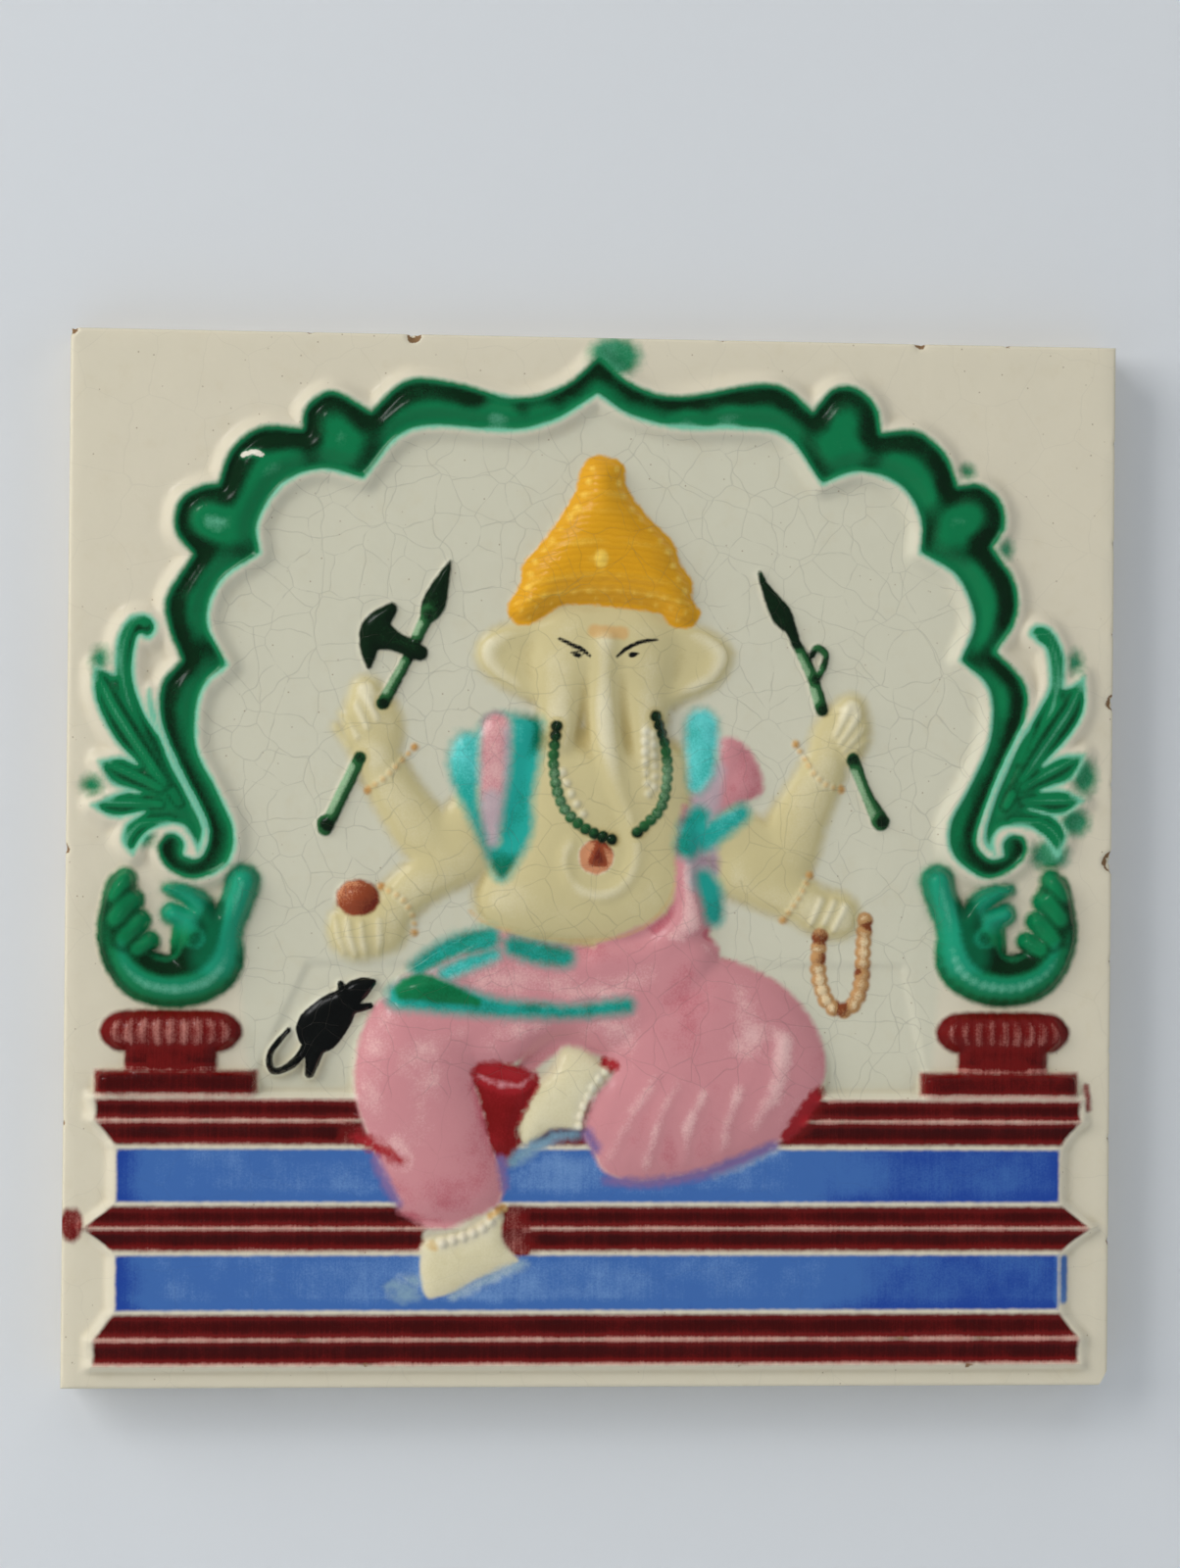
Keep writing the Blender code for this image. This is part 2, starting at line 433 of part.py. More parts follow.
def creatures(field):
    found = []
    for strokes, lobes, side in (
        (CREATURE, CREATURE_LOBES, 1.0),
        (mirrored(CREATURE, -0.6, -0.7), mirrored(CREATURE_LOBES, -0.6, -0.7), -1.0),
    ):
        shapes = [swell(field.limb(line), CREATURE_RISE / MM) for line in strokes]
        body = melt_all(shapes, 0.9)
        # The belly is ribbed along lines that spread from the creature's middle.
        away_x = side * (field.columns[None, :] + (0.6 if side < 0 else 0.0)) - CREATURE_CENTRE[0]
        away_z = field.rows[:, None] - CREATURE_CENTRE[1]
        turn = np.arctan2(away_z, away_x)
        belly = ease(5.5, 8.0, np.hypot(away_x, away_z)) * ease(0.3, 1.6, body)
        belly = belly * ease(0.2, -0.3, np.sin(turn))
        body = body + 0.05 * np.cos(turn * 44.0) * belly
        lumps = melt_all([swell(field.limb(line), CREATURE_RISE / MM + 0.15) for line in lobes], 0.1)
        eye_x, eye_z, ring = CREATURE_EYE
        off = np.hypot(away_x - eye_x + CREATURE_CENTRE[0], away_z - eye_z + CREATURE_CENTRE[1])
        eye = 0.2 * np.exp(-(((off - ring) / 0.45) ** 2)) + 0.25 * np.exp(-((off / 0.6) ** 2))
        found.append(melt(body, lumps, 0.2) + eye * ease(0.2, 1.0, body))
    return np.maximum(*found)


def bulbs(field):
    found = field.filled(FAR)
    for (x, z, half_width), (start, end) in zip(BULB_CENTRES, PLINTHS):
        bulb = swell(field.oval(x, z, half_width, BULB_HALF_HEIGHT), BULB_RISE / MM)
        ribs = np.cos(2.0 * np.pi * BULB_RIBS * (field.columns[None, :] - x) / (2.0 * half_width))
        bulb = bulb + 0.11 * (ribs - 1.0) * ease(0.4, 1.5, bulb)
        foot = field.block(x - FOOT_HALF_WIDTH, x + FOOT_HALF_WIDTH, DRAWN_BASE_TOP, z)
        foot = swell(np.minimum(foot / 2.2, 1.0), 0.7 * BULB_RISE / MM)
        bar = field.block(start, end, DRAWN_BASE_TOP - 0.6, PLINTH_TOP)
        plinth = swell(field.softened(np.clip(bar / 1.3, -1.0, 1.0), 0.4), PLINTH_RISE / MM)
        found = np.maximum(found, np.maximum(melt(bulb, foot, 0.5), plinth))
    return found


def crown(field, full):
    edge = field.pillow(CROWN, SLOPES["crown"])
    shape = swell(edge, SHARES["crown"] * full)
    bow = 0.012 * (field.columns[None, :] - 0.8) ** 2
    for ring in CROWN_RINGS:
        apart = field.rows[:, None] - ring + bow
        shape = shape + RING_RISE / MM * np.exp(-((apart / 0.6) ** 2)) * ease(0.05, 0.3, edge)
    jewel = swell(field.oval(*JEWEL), SHARES["jewel"] * full)
    return melt(shape, jewel, 0.15)


def head(field, full):
    face = melt_all([swell(field.limb(line), SHARES["face"] * full) for line in HEAD], 1.0)
    ears = []
    for outline in EARS:
        edge = field.pillow(outline, SLOPES["ears"])
        hollow = 1.0 - 0.35 * ease(0.3, 0.8, edge)
        ears.append(swell(np.minimum(edge * 3.0, 1.0), SHARES["ears"] * full) * hollow)
    trunk = swell(field.limb(TRUNK), SHARES["trunk"] * full)
    return melt(melt(np.maximum(*ears), face, 0.7), trunk, 0.7)


def hands(field, full):
    shapes = [swell(field.limb(line), SHARES["arms"] * full) for line in ARMS]
    shapes += [swell(field.limb(line), SHARES["hands"] * full) for line in HANDS]
    found = melt_all(shapes, 0.9)
    for (first_tip, first_root, last_tip, last_root), count in zip(FINGERS, FINGER_COUNTS):
        for share in np.linspace(0.0, 1.0, count):
            tip = [a + share * (b - a) for a, b in zip(first_tip, last_tip)]
            root = [a + share * (b - a) for a, b in zip(first_root, last_root)]
            finger = ((*tip, FINGER_HALF_WIDTH), (*root, 0.6 * FINGER_HALF_WIDTH))
            found = melt(found, swell(field.limb(finger), SHARES["fingers"] * full), 0.2)
    return found


def creased(field, shape, folds):
    # Soft grooves along the folds of a cloth, fading out towards its edge.
    for fold in folds:
        groove = field.limb(tuple((x, z, FOLD_HALF_WIDTH) for x, z in fold))
        shape = shape - CREASE_DEPTH / MM * ease(0.0, 1.0, groove) * ease(0.4, 1.2, shape)
    return shape


def clothes(field, full):
    shawls = [swell(field.pillow(line, SLOPES["shawls"]), SHARES["shawls"] * full)
              for line in (SHAWL_LEFT, SHAWL_RIGHT)]
    shawls = [creased(field, shawl, SHAWL_FOLDS) for shawl in shawls]
    sash = swell(field.limb(SASH), SHARES["sash"] * full)
    lap = swell(field.pillow(LAP, SLOPES["lap"]), SHARES["lap"] * full)
    leg = swell(field.pillow(LEG_LEFT, SLOPES["leg"]), SHARES["leg"] * full)
    knee = swell(field.pillow(KNEE_RIGHT, SLOPES["knee"]), SHARES["knee"] * full)
    knee = creased(field, knee, KNEE_FOLDS)
    drape = swell(field.pillow(DRAPE, SLOPES["drape"]), SHARES["drape"] * full)
    body = melt_all([drape, lap, leg, knee, sash] + shawls, 0.4)
    trim = np.maximum.reduce([swell(field.limb(line), TRIM_RISE / MM) for line in TRIMS])
    return body + np.clip(trim, 0.0, None) * ease(0.2, 0.8, body)


def beads(field, full):
    found = field.filled(FAR)
    for line, half_width in zip(BEAD_LINES, BEAD_HALF_WIDTHS):
        thread = smooth_line(line, False)
        steps = np.hypot(*np.diff(thread, axis=0).T)
        gone = np.concatenate([[0.0], np.cumsum(steps)])
        count = max(2, round(gone[-1] / (1.75 * half_width)))
        for place in np.linspace(0.0, gone[-1], count):
            x, z = (np.interp(place, gone, thread[:, axis]) for axis in (0, 1))
            bead = swell(field.oval(x, z, half_width, half_width), SHARES["beads"] * full)
            found = np.maximum(found, bead)
    return found


def figure(field):
    full = FIGURE_RISE / MM
    torso = swell(field.pillow(TORSO, SLOPES["torso"], 1.2), SHARES["torso"] * full)
    feet = [swell(field.pillow(line, SLOPES["feet"]), SHARES["feet"] * full)
            for line in (FOOT_FOLDED, FOOT_HANGING)]
    body = melt_all([torso, hands(field, full)] + feet, 0.6)
    body = melt(body, clothes(field, full), 0.35)
    body = melt(body, head(field, full), 0.5)
    body = melt(body, crown(field, full), 0.2)
    sweets = [swell(field.oval(*sweet), rise * full) for *sweet, rise in SWEETS]
    body = np.maximum(body, melt_all(sweets, 0.2))
    held = melt_all([swell(field.limb(line), SHARES["held"] * full) for line in WEAPONS + MOUSE], 0.2)
    body = np.maximum(body, held)
    strung = beads(field, full)
    return np.where(strung > 0.0, np.maximum(body, 0.0) + strung, body)


def base(columns, rows, base_top):
    # Heights over the three mouldings and two bands, in metres, with their shaped ends.
    pitch = MOULDING_HEIGHT + BAND_HEIGHT
    down = base_top - rows
    along = np.clip(down - pitch * np.clip(np.floor(down / pitch), 0, 2), 0.0, None)
    ledge = LEDGE_INSET
    middle = 0.5 * MOULDING_HEIGHT
    crests = ((0.0, BAND_RISE), (ledge, LEDGE_RISE), (middle, RIDGE_RISE),
              (MOULDING_HEIGHT - ledge, LEDGE_RISE), (MOULDING_HEIGHT, BAND_RISE), (pitch, BAND_RISE))
    profile = np.interp(along, *zip(*crests))
    for start, end in ((ledge, middle), (middle, MOULDING_HEIGHT - ledge)):
        t = np.clip((along - start) / (end - start), 0.0, 1.0)
        sag = 0.5 * (LEDGE_RISE + RIDGE_RISE) - FLUTE_RISE
        profile = profile - sag * np.sqrt(np.clip(1.0 - (2.0 * t - 1.0) ** 2, 0.0, 1.0))
    total = 3 * MOULDING_HEIGHT + 2 * BAND_HEIGHT
    full = 0.5 * TILE_WIDTH - SIDE_MARGIN
    nose = full + NOSING
    short = full - BAND_SETBACK
    ends = ((0.0, full), (middle, full), (MOULDING_HEIGHT, short), (pitch, short), (pitch + middle, nose),
            (pitch + MOULDING_HEIGHT, short), (2 * pitch, short), (2 * pitch + middle, full), (total, full))
    half = np.interp(down, *zip(*ends))
    edge = half[:, None] - np.abs(columns)[None, :]
    edge = np.minimum(edge, np.minimum(down, total - down)[:, None] * END_SLOPE / LEDGE_INSET)
    return profile[:, None] * ease(-END_SLOPE, 0.0, edge)


def relief(columns, rows):
    # Height over the plain margin at each crossing of the grid, in metres.
    base_top = BOTTOM_MARGIN - 0.5 * TILE_HEIGHT + 3 * MOULDING_HEIGHT + 2 * BAND_HEIGHT
    wide = (0.5 * TILE_WIDTH - ARCH_SIDE_MARGIN) / DRAWN_ARCH_HALF
    tall = (0.5 * TILE_HEIGHT - ARCH_TOP_MARGIN - base_top) / (DRAWN_ARCH_TOP - DRAWN_BASE_TOP)
    frame = Field(columns / wide, (rows - base_top) / tall + DRAWN_BASE_TOP)
    scale = FIGURE_HEIGHT / DRAWN_FIGURE_HEIGHT
    seated = Field(columns / scale, (rows - base_top) / scale + DRAWN_BASE_TOP)

    ground = -THRONE_SINK / MM * ease(-0.4, 0.5, frame.inside(THRONE))
    raised = np.maximum.reduce([arch(frame), creatures(frame), bulbs(frame)])
    raised = melt(frame.filled(0.0), raised, FILLET / MM)
    body = figure(seated)
    # Where the figure lies over the base, it stands on the level of the bands.
    seat = BAND_RISE / MM * ease(-base_top - SEAT_RUN, -base_top, -rows)[:, None]
    covered = ease(-0.1, 0.0, body)
    steps = base(columns, rows, base_top) / MM
    steps = steps + (seat - steps) * covered * ease(0.0, 0.5, steps)
    body = np.where(body > 0.0, body * (1.0 - SEAT_SHARE * seat / (FIGURE_RISE / MM)), body) + seat * covered
    around = np.maximum(np.maximum(raised, steps), 0.0)
    around = np.where(around > 0.05, around, ground)
    return melt(around, body, FILLET / MM) * MM


def front_sheet():
    # The moulded face as a fine grid, thinned to the triangles that its relief needs.
    width = TILE_WIDTH - 2 * ARRIS
    height = TILE_HEIGHT - 2 * ARRIS
    across = round(width / GRID_STEP)
    up = round(height / GRID_STEP)
    heights = relief(np.linspace(-width / 2, width / 2, across + 1),
                     np.linspace(-height / 2, height / 2, up + 1))

    sheet = bmesh.new()
    bmesh.ops.create_grid(sheet, x_segments=across, y_segments=up, size=1.0)
    for vert in sheet.verts:
        column = round((vert.co.x + 1.0) / 2.0 * across)
        row = round((vert.co.y + 1.0) / 2.0 * up)
        vert.co = (vert.co.x * width / 2, -TILE_THICKNESS - heights[row, column], vert.co.y * height / 2)
    mesh = bpy.data.meshes.new("front_sheet")
    sheet.to_mesh(mesh)
    sheet.free()

    fine = bpy.data.objects.new("front_sheet", mesh)
    bpy.context.scene.collection.objects.link(fine)
    thin = fine.modifiers.new("thin_out", "DECIMATE")
    thin.ratio = FRONT_TRIANGLES / (2.0 * across * up)
    graph = bpy.context.evaluated_depsgraph_get()
    found = bpy.data.meshes.new_from_object(fine.evaluated_get(graph))
    bpy.data.objects.remove(fine, do_unlink=True)
    bpy.data.meshes.remove(mesh)
    return found


def slab_from(sheet):
    # Chamfered edges, straight sides and a flat back behind the moulded face.
    solid = bmesh.new()
    solid.from_mesh(sheet)
    rings = (
        (TILE_WIDTH / 2, TILE_HEIGHT / 2, ARRIS - TILE_THICKNESS),
        (TILE_WIDTH / 2, TILE_HEIGHT / 2, 0.0),
    )
    inner_x, inner_z = TILE_WIDTH / 2 - ARRIS, TILE_HEIGHT / 2 - ARRIS
    border = [edge for edge in solid.edges if edge.is_boundary]
    for half_width, half_height, depth in rings:
        made = bmesh.ops.extrude_edge_only(solid, edges=border)["geom"]
        for vert in (item for item in made if isinstance(item, bmesh.types.BMVert)):
            vert.co.x *= half_width / inner_x
            vert.co.z *= half_height / inner_z
            vert.co.y = depth
        border = [item for item in made if isinstance(item, bmesh.types.BMEdge)]
        inner_x, inner_z = half_width, half_height
    bmesh.ops.holes_fill(solid, edges=border)
    bmesh.ops.recalc_face_normals(solid, faces=solid.faces)
    solid.to_mesh(sheet)
    solid.free()
    return sheet


def cutter(name, size, place, turn=0.0):
    made = bmesh.new()
    bmesh.ops.create_cube(made, size=1.0)
    for vert in made.verts:
        vert.co = [part * length for part, length in zip(vert.co, size)]
    mesh = bpy.data.meshes.new(name)
    made.to_mesh(mesh)
    made.free()
    tool = bpy.data.objects.new(name, mesh)
    tool.location = place
    tool.rotation_euler = (0.0, turn, 0.0)
    tool.hide_render = True
    tool.display_type = "WIRE"
    return tool


def back_grooves():
    # Level grooves on each side of the centre land, evenly spread between the borders.
    room = TILE_HEIGHT - 2 * BACK_BORDER
    land = (room - GROOVE_COUNT * GROOVE_WIDTH) / (GROOVE_COUNT - 1)
    size = (TILE_WIDTH - 2 * BACK_BORDER, 2 * GROOVE_DEPTH, GROOVE_WIDTH)
    for number in range(GROOVE_COUNT):
        up = BACK_BORDER + GROOVE_WIDTH / 2 + number * (GROOVE_WIDTH + land) - TILE_HEIGHT / 2
        yield cutter(f"groove_{number + 1}", size, (0.0, 0.0, up))


def corner_chip():
    # A slanted bite out of the lower right corner, through the whole thickness.
    slant = np.hypot(CHIP_WIDTH, CHIP_HEIGHT)
    reach = CHIP_WIDTH * CHIP_HEIGHT / slant
    turn = np.arctan2(CHIP_WIDTH, CHIP_HEIGHT)
    size = (2 * reach, 4 * TILE_THICKNESS, 2 * slant)
    return cutter("corner_chip", size, (TILE_WIDTH / 2, 0.0, -TILE_HEIGHT / 2), turn)


def glaze():
    material = bpy.data.materials.new("glazed_earthenware")
    material.use_nodes = True
    shader = material.node_tree.nodes["Principled BSDF"]
    shader.inputs["Base Color"].default_value = (0.62, 0.57, 0.45, 1.0)
    shader.inputs["Roughness"].default_value = 0.18
    shader.inputs["Metallic"].default_value = 0.0
    return material


def main():
    clear_scene()
    parts = bpy.data.collections.new("embossed ceramic tile")
    cutters = bpy.data.collections.new("cutters")
    for collection in (parts, cutters):
        bpy.context.scene.collection.children.link(collection)
    cutters.hide_render = True

    mesh = slab_from(front_sheet())
    mesh.name = TILE_NAME
    tile = bpy.data.objects.new(TILE_NAME, mesh)
    tile.data.materials.append(glaze())
    tile.data.shade_smooth()
    tile.data.set_sharp_from_angle(angle=np.radians(40.0))
    parts.objects.link(tile)

    for tool in [*back_grooves(), corner_chip()]:
        cutters.objects.link(tool)
        cut = tile.modifiers.new(tool.name, "BOOLEAN")
        cut.operation = "DIFFERENCE"
        cut.object = tool


main()
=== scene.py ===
import math

import bmesh
import bpy
import numpy as np
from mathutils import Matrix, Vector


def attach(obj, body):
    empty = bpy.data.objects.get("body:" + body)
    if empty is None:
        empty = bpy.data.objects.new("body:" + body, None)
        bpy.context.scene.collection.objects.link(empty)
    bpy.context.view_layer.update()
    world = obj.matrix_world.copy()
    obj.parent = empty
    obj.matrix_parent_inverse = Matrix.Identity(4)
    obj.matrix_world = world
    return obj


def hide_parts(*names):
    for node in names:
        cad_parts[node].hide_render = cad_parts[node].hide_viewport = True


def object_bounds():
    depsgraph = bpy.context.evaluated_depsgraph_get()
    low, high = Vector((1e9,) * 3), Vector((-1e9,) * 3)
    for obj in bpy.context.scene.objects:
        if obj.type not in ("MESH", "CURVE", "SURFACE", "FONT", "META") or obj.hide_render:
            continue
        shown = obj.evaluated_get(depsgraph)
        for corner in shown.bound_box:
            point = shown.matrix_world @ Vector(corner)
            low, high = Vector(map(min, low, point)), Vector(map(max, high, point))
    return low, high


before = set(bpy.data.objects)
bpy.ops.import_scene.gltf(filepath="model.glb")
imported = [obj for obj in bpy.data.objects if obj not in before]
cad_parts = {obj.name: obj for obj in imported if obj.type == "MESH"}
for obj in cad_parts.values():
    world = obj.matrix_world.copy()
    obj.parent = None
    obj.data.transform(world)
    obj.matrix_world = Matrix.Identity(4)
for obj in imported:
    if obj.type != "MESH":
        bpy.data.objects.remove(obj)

# Press-moulded tile: a seated elephant-headed figure under a foiled arch, painted in
# coloured glazes. Drawings are in millimetres from the middle of the face, x right and z up.
cadBox = [[float(value) for value in corner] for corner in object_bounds()]
mm = 0.001
farOut = -9.0  # the height where a form isn't
tiny = 1e-12  # keeps a piece without length from dividing by nothing


def smoothLine(points, closed, pieces=5):
    # a flowing curve through the points, broken where a closed outline marks a corner
    places = np.array([(p[:2] if closed else p) for p in points], float)
    sharp = [closed and len(p) > 2 for p in points]
    count = len(points)
    found = []
    for i in range(count if closed else count - 1):
        start, end = places[i], places[(i + 1) % count]
        before = places[i - 1] if closed or i > 0 else start
        after = places[(i + 2) % count] if closed or i + 2 < count else end
        leaving = (end - start) if sharp[i] else 0.5 * (end - before)
        arriving = (end - start) if sharp[(i + 1) % count] else 0.5 * (after - start)
        for t in np.linspace(0.0, 1.0, pieces, endpoint=False):
            rest = 1.0 - t
            found.append(start * (1 + 2 * t) * rest * rest + leaving * t * rest * rest
                         + end * t * t * (3 - 2 * t) - arriving * t * t * rest)
    if not closed:
        found.append(places[-1])
    return np.array(found)


def toPiece(x, z, ax, az, bx, bz):
    # the share along a straight piece nearest to each point, and the distance from there
    runX, runZ = bx - ax, bz - az
    t = np.clip(((x - ax) * runX + (z - az) * runZ) / (runX ** 2 + runZ ** 2 + tiny), 0.0, 1.0)
    return t, np.hypot(x - ax - t * runX, z - az - t * runZ)


class Field:
    # an even raster over the face, on which heights and painted areas are laid

    def __init__(self, half, step):
        self.line = np.linspace(-half, half, round(2 * half / step) + 1)
        self.step = self.line[1] - self.line[0]
        self.x = self.line[None, :]
        self.z = self.line[:, None]

    def blank(self, value=farOut):
        return np.full((len(self.line), len(self.line)), float(value))

    def window(self, ax, az, bx, bz, reach):
        across = slice(*np.searchsorted(self.line, (min(ax, bx) - reach, max(ax, bx) + reach)))
        up = slice(*np.searchsorted(self.line, (min(az, bz) - reach, max(az, bz) + reach)))
        return (up, across), self.line[across][None, :], self.line[up][:, None]

    def inside(self, points, reach=3.0):
        # distance from an outline's edge, positive within it, held to the reach
        line = smoothLine(points, True)
        nearest = self.blank(reach)
        flips = np.zeros((len(self.line), len(self.line) + 1), int)
        for (ax, az), (bx, bz) in zip(line, np.roll(line, -1, axis=0)):
            part, x, z = self.window(ax, az, bx, bz, reach)
            nearest[part] = np.minimum(nearest[part], toPiece(x, z, ax, az, bx, bz)[1])
            rows = np.arange(*np.searchsorted(self.line, (min(az, bz), max(az, bz))))
            if len(rows):
                crossing = ax + (bx - ax) * (self.line[rows] - az) / (bz - az)
                flips[rows, np.searchsorted(self.line, crossing)] += 1
        within = np.cumsum(flips, axis=1)[:, :-1] % 2 == 1
        return np.where(within, nearest, -nearest)

    def stroke(self, points, spare=2.0):
        # the share of a limb's half width left over, and the depth within it
        line = smoothLine(points, False)
        share, depth = self.blank(), self.blank(-spare)
        for (ax, az, ar), (bx, bz, br) in zip(line[:-1], line[1:]):
            part, x, z = self.window(ax, az, bx, bz, max(ar, br) + spare)
            t, apart = toPiece(x, z, ax, az, bx, bz)
            radius = ar + t * (br - ar)
            share[part] = np.maximum(share[part], 1.0 - apart / radius)
            depth[part] = np.maximum(depth[part], radius - apart)
        return share, depth

    def limb(self, points):
        return self.stroke(points)[0]

    def depth(self, points):
        return self.stroke(points)[1]

    def oval(self, x, z, halfWidth, halfHeight):
        # 1 in an oval's middle and 0 on its edge
        return 1.0 - np.hypot((self.x - x) / halfWidth, (self.z - z) / halfHeight)

    def block(self, left, right, bottom, top):
        # how deep each point lies within an upright block
        across = np.minimum(self.x - left, right - self.x)
        return np.minimum(across, np.minimum(self.z - bottom, top - self.z))

    def blurred(self, values, reach):
        # the values softened by a bell curve
        spread = int(np.ceil(2.5 * reach / self.step))
        weights = np.exp(-0.5 * (np.arange(-spread, spread + 1) * self.step / reach) ** 2)
        weights = weights / weights.sum()
        count = len(self.line)
        padded = np.pad(values, spread, mode="edge")
        across = sum(w * padded[:, i:i + count] for i, w in enumerate(weights))
        return sum(w * across[i:i + count] for i, w in enumerate(weights))

    def pillow(self, points, slope, reach=0.7):
        # 0 at an outline's edge and 1 from slope inwards, with no sharp ridges
        edge = np.clip(self.inside(points, slope + 0.5) / slope, -1.0, 1.0)
        return np.minimum(self.blurred(edge, reach), edge + 0.35)

    def sample(self, values, x, z):
        # the values at any places, read between the raster's points
        column = np.clip((x - self.line[0]) / self.step, 0, len(self.line) - 1.001)
        row = np.clip((z - self.line[0]) / self.step, 0, len(self.line) - 1.001)
        c, r = column.astype(int), row.astype(int)
        u, v = column - c, row - r
        low = values[r, c] * (1 - u) + values[r, c + 1] * u
        high = values[r + 1, c] * (1 - u) + values[r + 1, c + 1] * u
        return low * (1 - v) + high * v


def ease(low, high, value):
    # 0 up to low and 1 from high on, with a soft rise between them
    t = np.clip((value - low) / (high - low), 0.0, 1.0)
    return t * t * (3.0 - 2.0 * t)


def swell(share, rise):
    # a rounded mound: rise in its middle, nothing at its edge
    held = np.clip(share, 0.0, 1.0)
    return np.where(share > 0.0, rise * (held * (2.0 - held)) ** 0.7, 2.0 * share)


def melt(first, second, width):
    # the higher of two heights, with a fillet where they cross
    t = np.clip(0.5 + 0.5 * (first - second) / width, 0.0, 1.0)
    return second * (1.0 - t) + first * t + width * t * (1.0 - t)


def meltAll(shapes, width):
    found = shapes[0]
    for shape in shapes[1:]:
        found = melt(found, shape, width)
    return found


def widened(line, times=1.0, more=0.0):
    return [(x, z, times * r + more) for x, z, r in line]


face = Field(76.4, 0.2)
washes = {}  # how deep each point lies within each glaze, in millimetres
pools = face.blank(np.nan)  # from -1 where a glaze ran thin to 1 where it gathered
small = face.blank(0.0)  # beads, fingers and other fine relief, laid on the rest at the end
washEdge = 2.0  # how far from its edge a glaze's depth is kept


def wash(name, depth, pool=None, reach=0.8):
    # paints a glaze, and over the reach beyond its edge how far it gathered or ran thin
    washes[name] = np.maximum(washes.get(name, face.blank(-washEdge)),
                              np.clip(depth, -washEdge, washEdge))
    if pool is not None:
        np.copyto(pools, pool, where=depth > -reach)


def gather(amount, share):
    # a glaze that gathered, or ran thin, over the given share of a place
    held = np.where(np.isnan(pools), 0.0, pools)
    np.copyto(pools, held + (amount - held) * share, where=share > 0.02)


def keepOff(name, depth):
    # leaves a place bare of a glaze
    washes[name] = np.minimum(washes[name], np.clip(-depth, -washEdge, washEdge))


def laySmall(mound):
    np.maximum(small, mound, out=small)


def beadRow(line, halfWidth, spacing):
    # round beads threaded along a line: their mounds and their depths
    thread = smoothLine(line, False)
    gone = np.concatenate([[0.0], np.cumsum(np.hypot(*np.diff(thread, axis=0).T))])
    mound, depth = face.blank(), face.blank(-washEdge)
    for place in np.linspace(0.0, gone[-1], max(2, round(gone[-1] / (spacing * halfWidth)))):
        x, z = (np.interp(place, gone, thread[:, axis]) for axis in (0, 1))
        share = face.oval(x, z, halfWidth, halfWidth)
        mound, depth = np.maximum(mound, share), np.maximum(depth, share * halfWidth)
    return mound, depth


print("drawing the arch and its leaves")
archLeft = (
    (-0.3, 67.7, 1), (-6.7, 63.7), (-13.3, 62.2), (-23.3, 62.7), (-28.9, 61.2), (-34.0, 55.0, 1),
    (-40.3, 56.2), (-45.6, 53.9), (-49.0, 48.6), (-48.8, 44.0, 1), (-54.3, 39.8), (-56.1, 34.0),
    (-53.3, 27.8, 1), (-56.9, 24.0), (-57.5, 16.3), (-54.7, 10.3), (-52.1, 4.3), (-53.0, -0.7),
    (-57.4, -2.8), (-61.2, -1.6), (-62.9, 1.2), (-61.9, 3.3), (-60.3, 3.6), (-59.1, 2.3),
    (-59.3, 0.6, 1), (-57.5, 0.0), (-56.2, 1.4), (-56.0, 4.3), (-58.3, 9.0), (-61.0, 14.4),
    (-62.8, 20.0), (-62.6, 25.0), (-59.8, 28.5, 1), (-61.7, 33.3), (-62.0, 37.6),
    (-58.3, 43.7, 1), (-60.9, 47.2), (-60.3, 51.4), (-57.3, 53.5), (-54.8, 54.0, 1),
    (-52.9, 59.0), (-48.6, 62.2), (-42.8, 62.0, 1), (-42.3, 65.2), (-38.6, 67.5),
    (-33.0, 64.7, 1), (-28.0, 69.2), (-21.5, 69.1), (-12.0, 67.0), (-5.0, 69.0), (-0.2, 73.3, 1),
)
archRight = (
    (-0.3, 67.7, 1), (4.7, 64.7), (11.7, 63.1), (20.0, 63.2), (27.2, 62.1), (32.6, 55.3, 1),
    (38.5, 57.2), (44.3, 55.0), (47.2, 50.2), (47.1, 45.5, 1), (52.6, 42.0), (55.1, 35.8),
    (53.2, 29.9, 1), (57.4, 25.6), (57.6, 18.6), (54.6, 11.4), (51.8, 6.0), (52.4, 1.3),
    (56.8, -1.8), (60.7, -0.8), (63.2, 1.8), (62.7, 4.0), (60.9, 4.5), (59.6, 3.2), (59.9, 1.3, 1),
    (58.0, 0.9), (56.3, 2.2), (55.9, 4.6), (58.0, 10.2), (60.8, 16.4), (62.9, 21.8), (62.7, 26.6),
    (58.5, 31.2, 1), (61.3, 36.0), (61.2, 41.2), (57.8, 46.5, 1), (59.6, 49.6), (58.9, 53.2),
    (55.9, 55.6), (52.6, 55.3, 1), (50.7, 59.9), (46.6, 63.2), (41.2, 62.9, 1), (40.4, 66.7),
    (37.6, 69.3), (34.2, 69.2), (31.2, 65.8, 1), (27.3, 69.0), (22.6, 69.6), (11.7, 67.6),
    (5.0, 69.2), (-0.2, 73.3, 1),
)
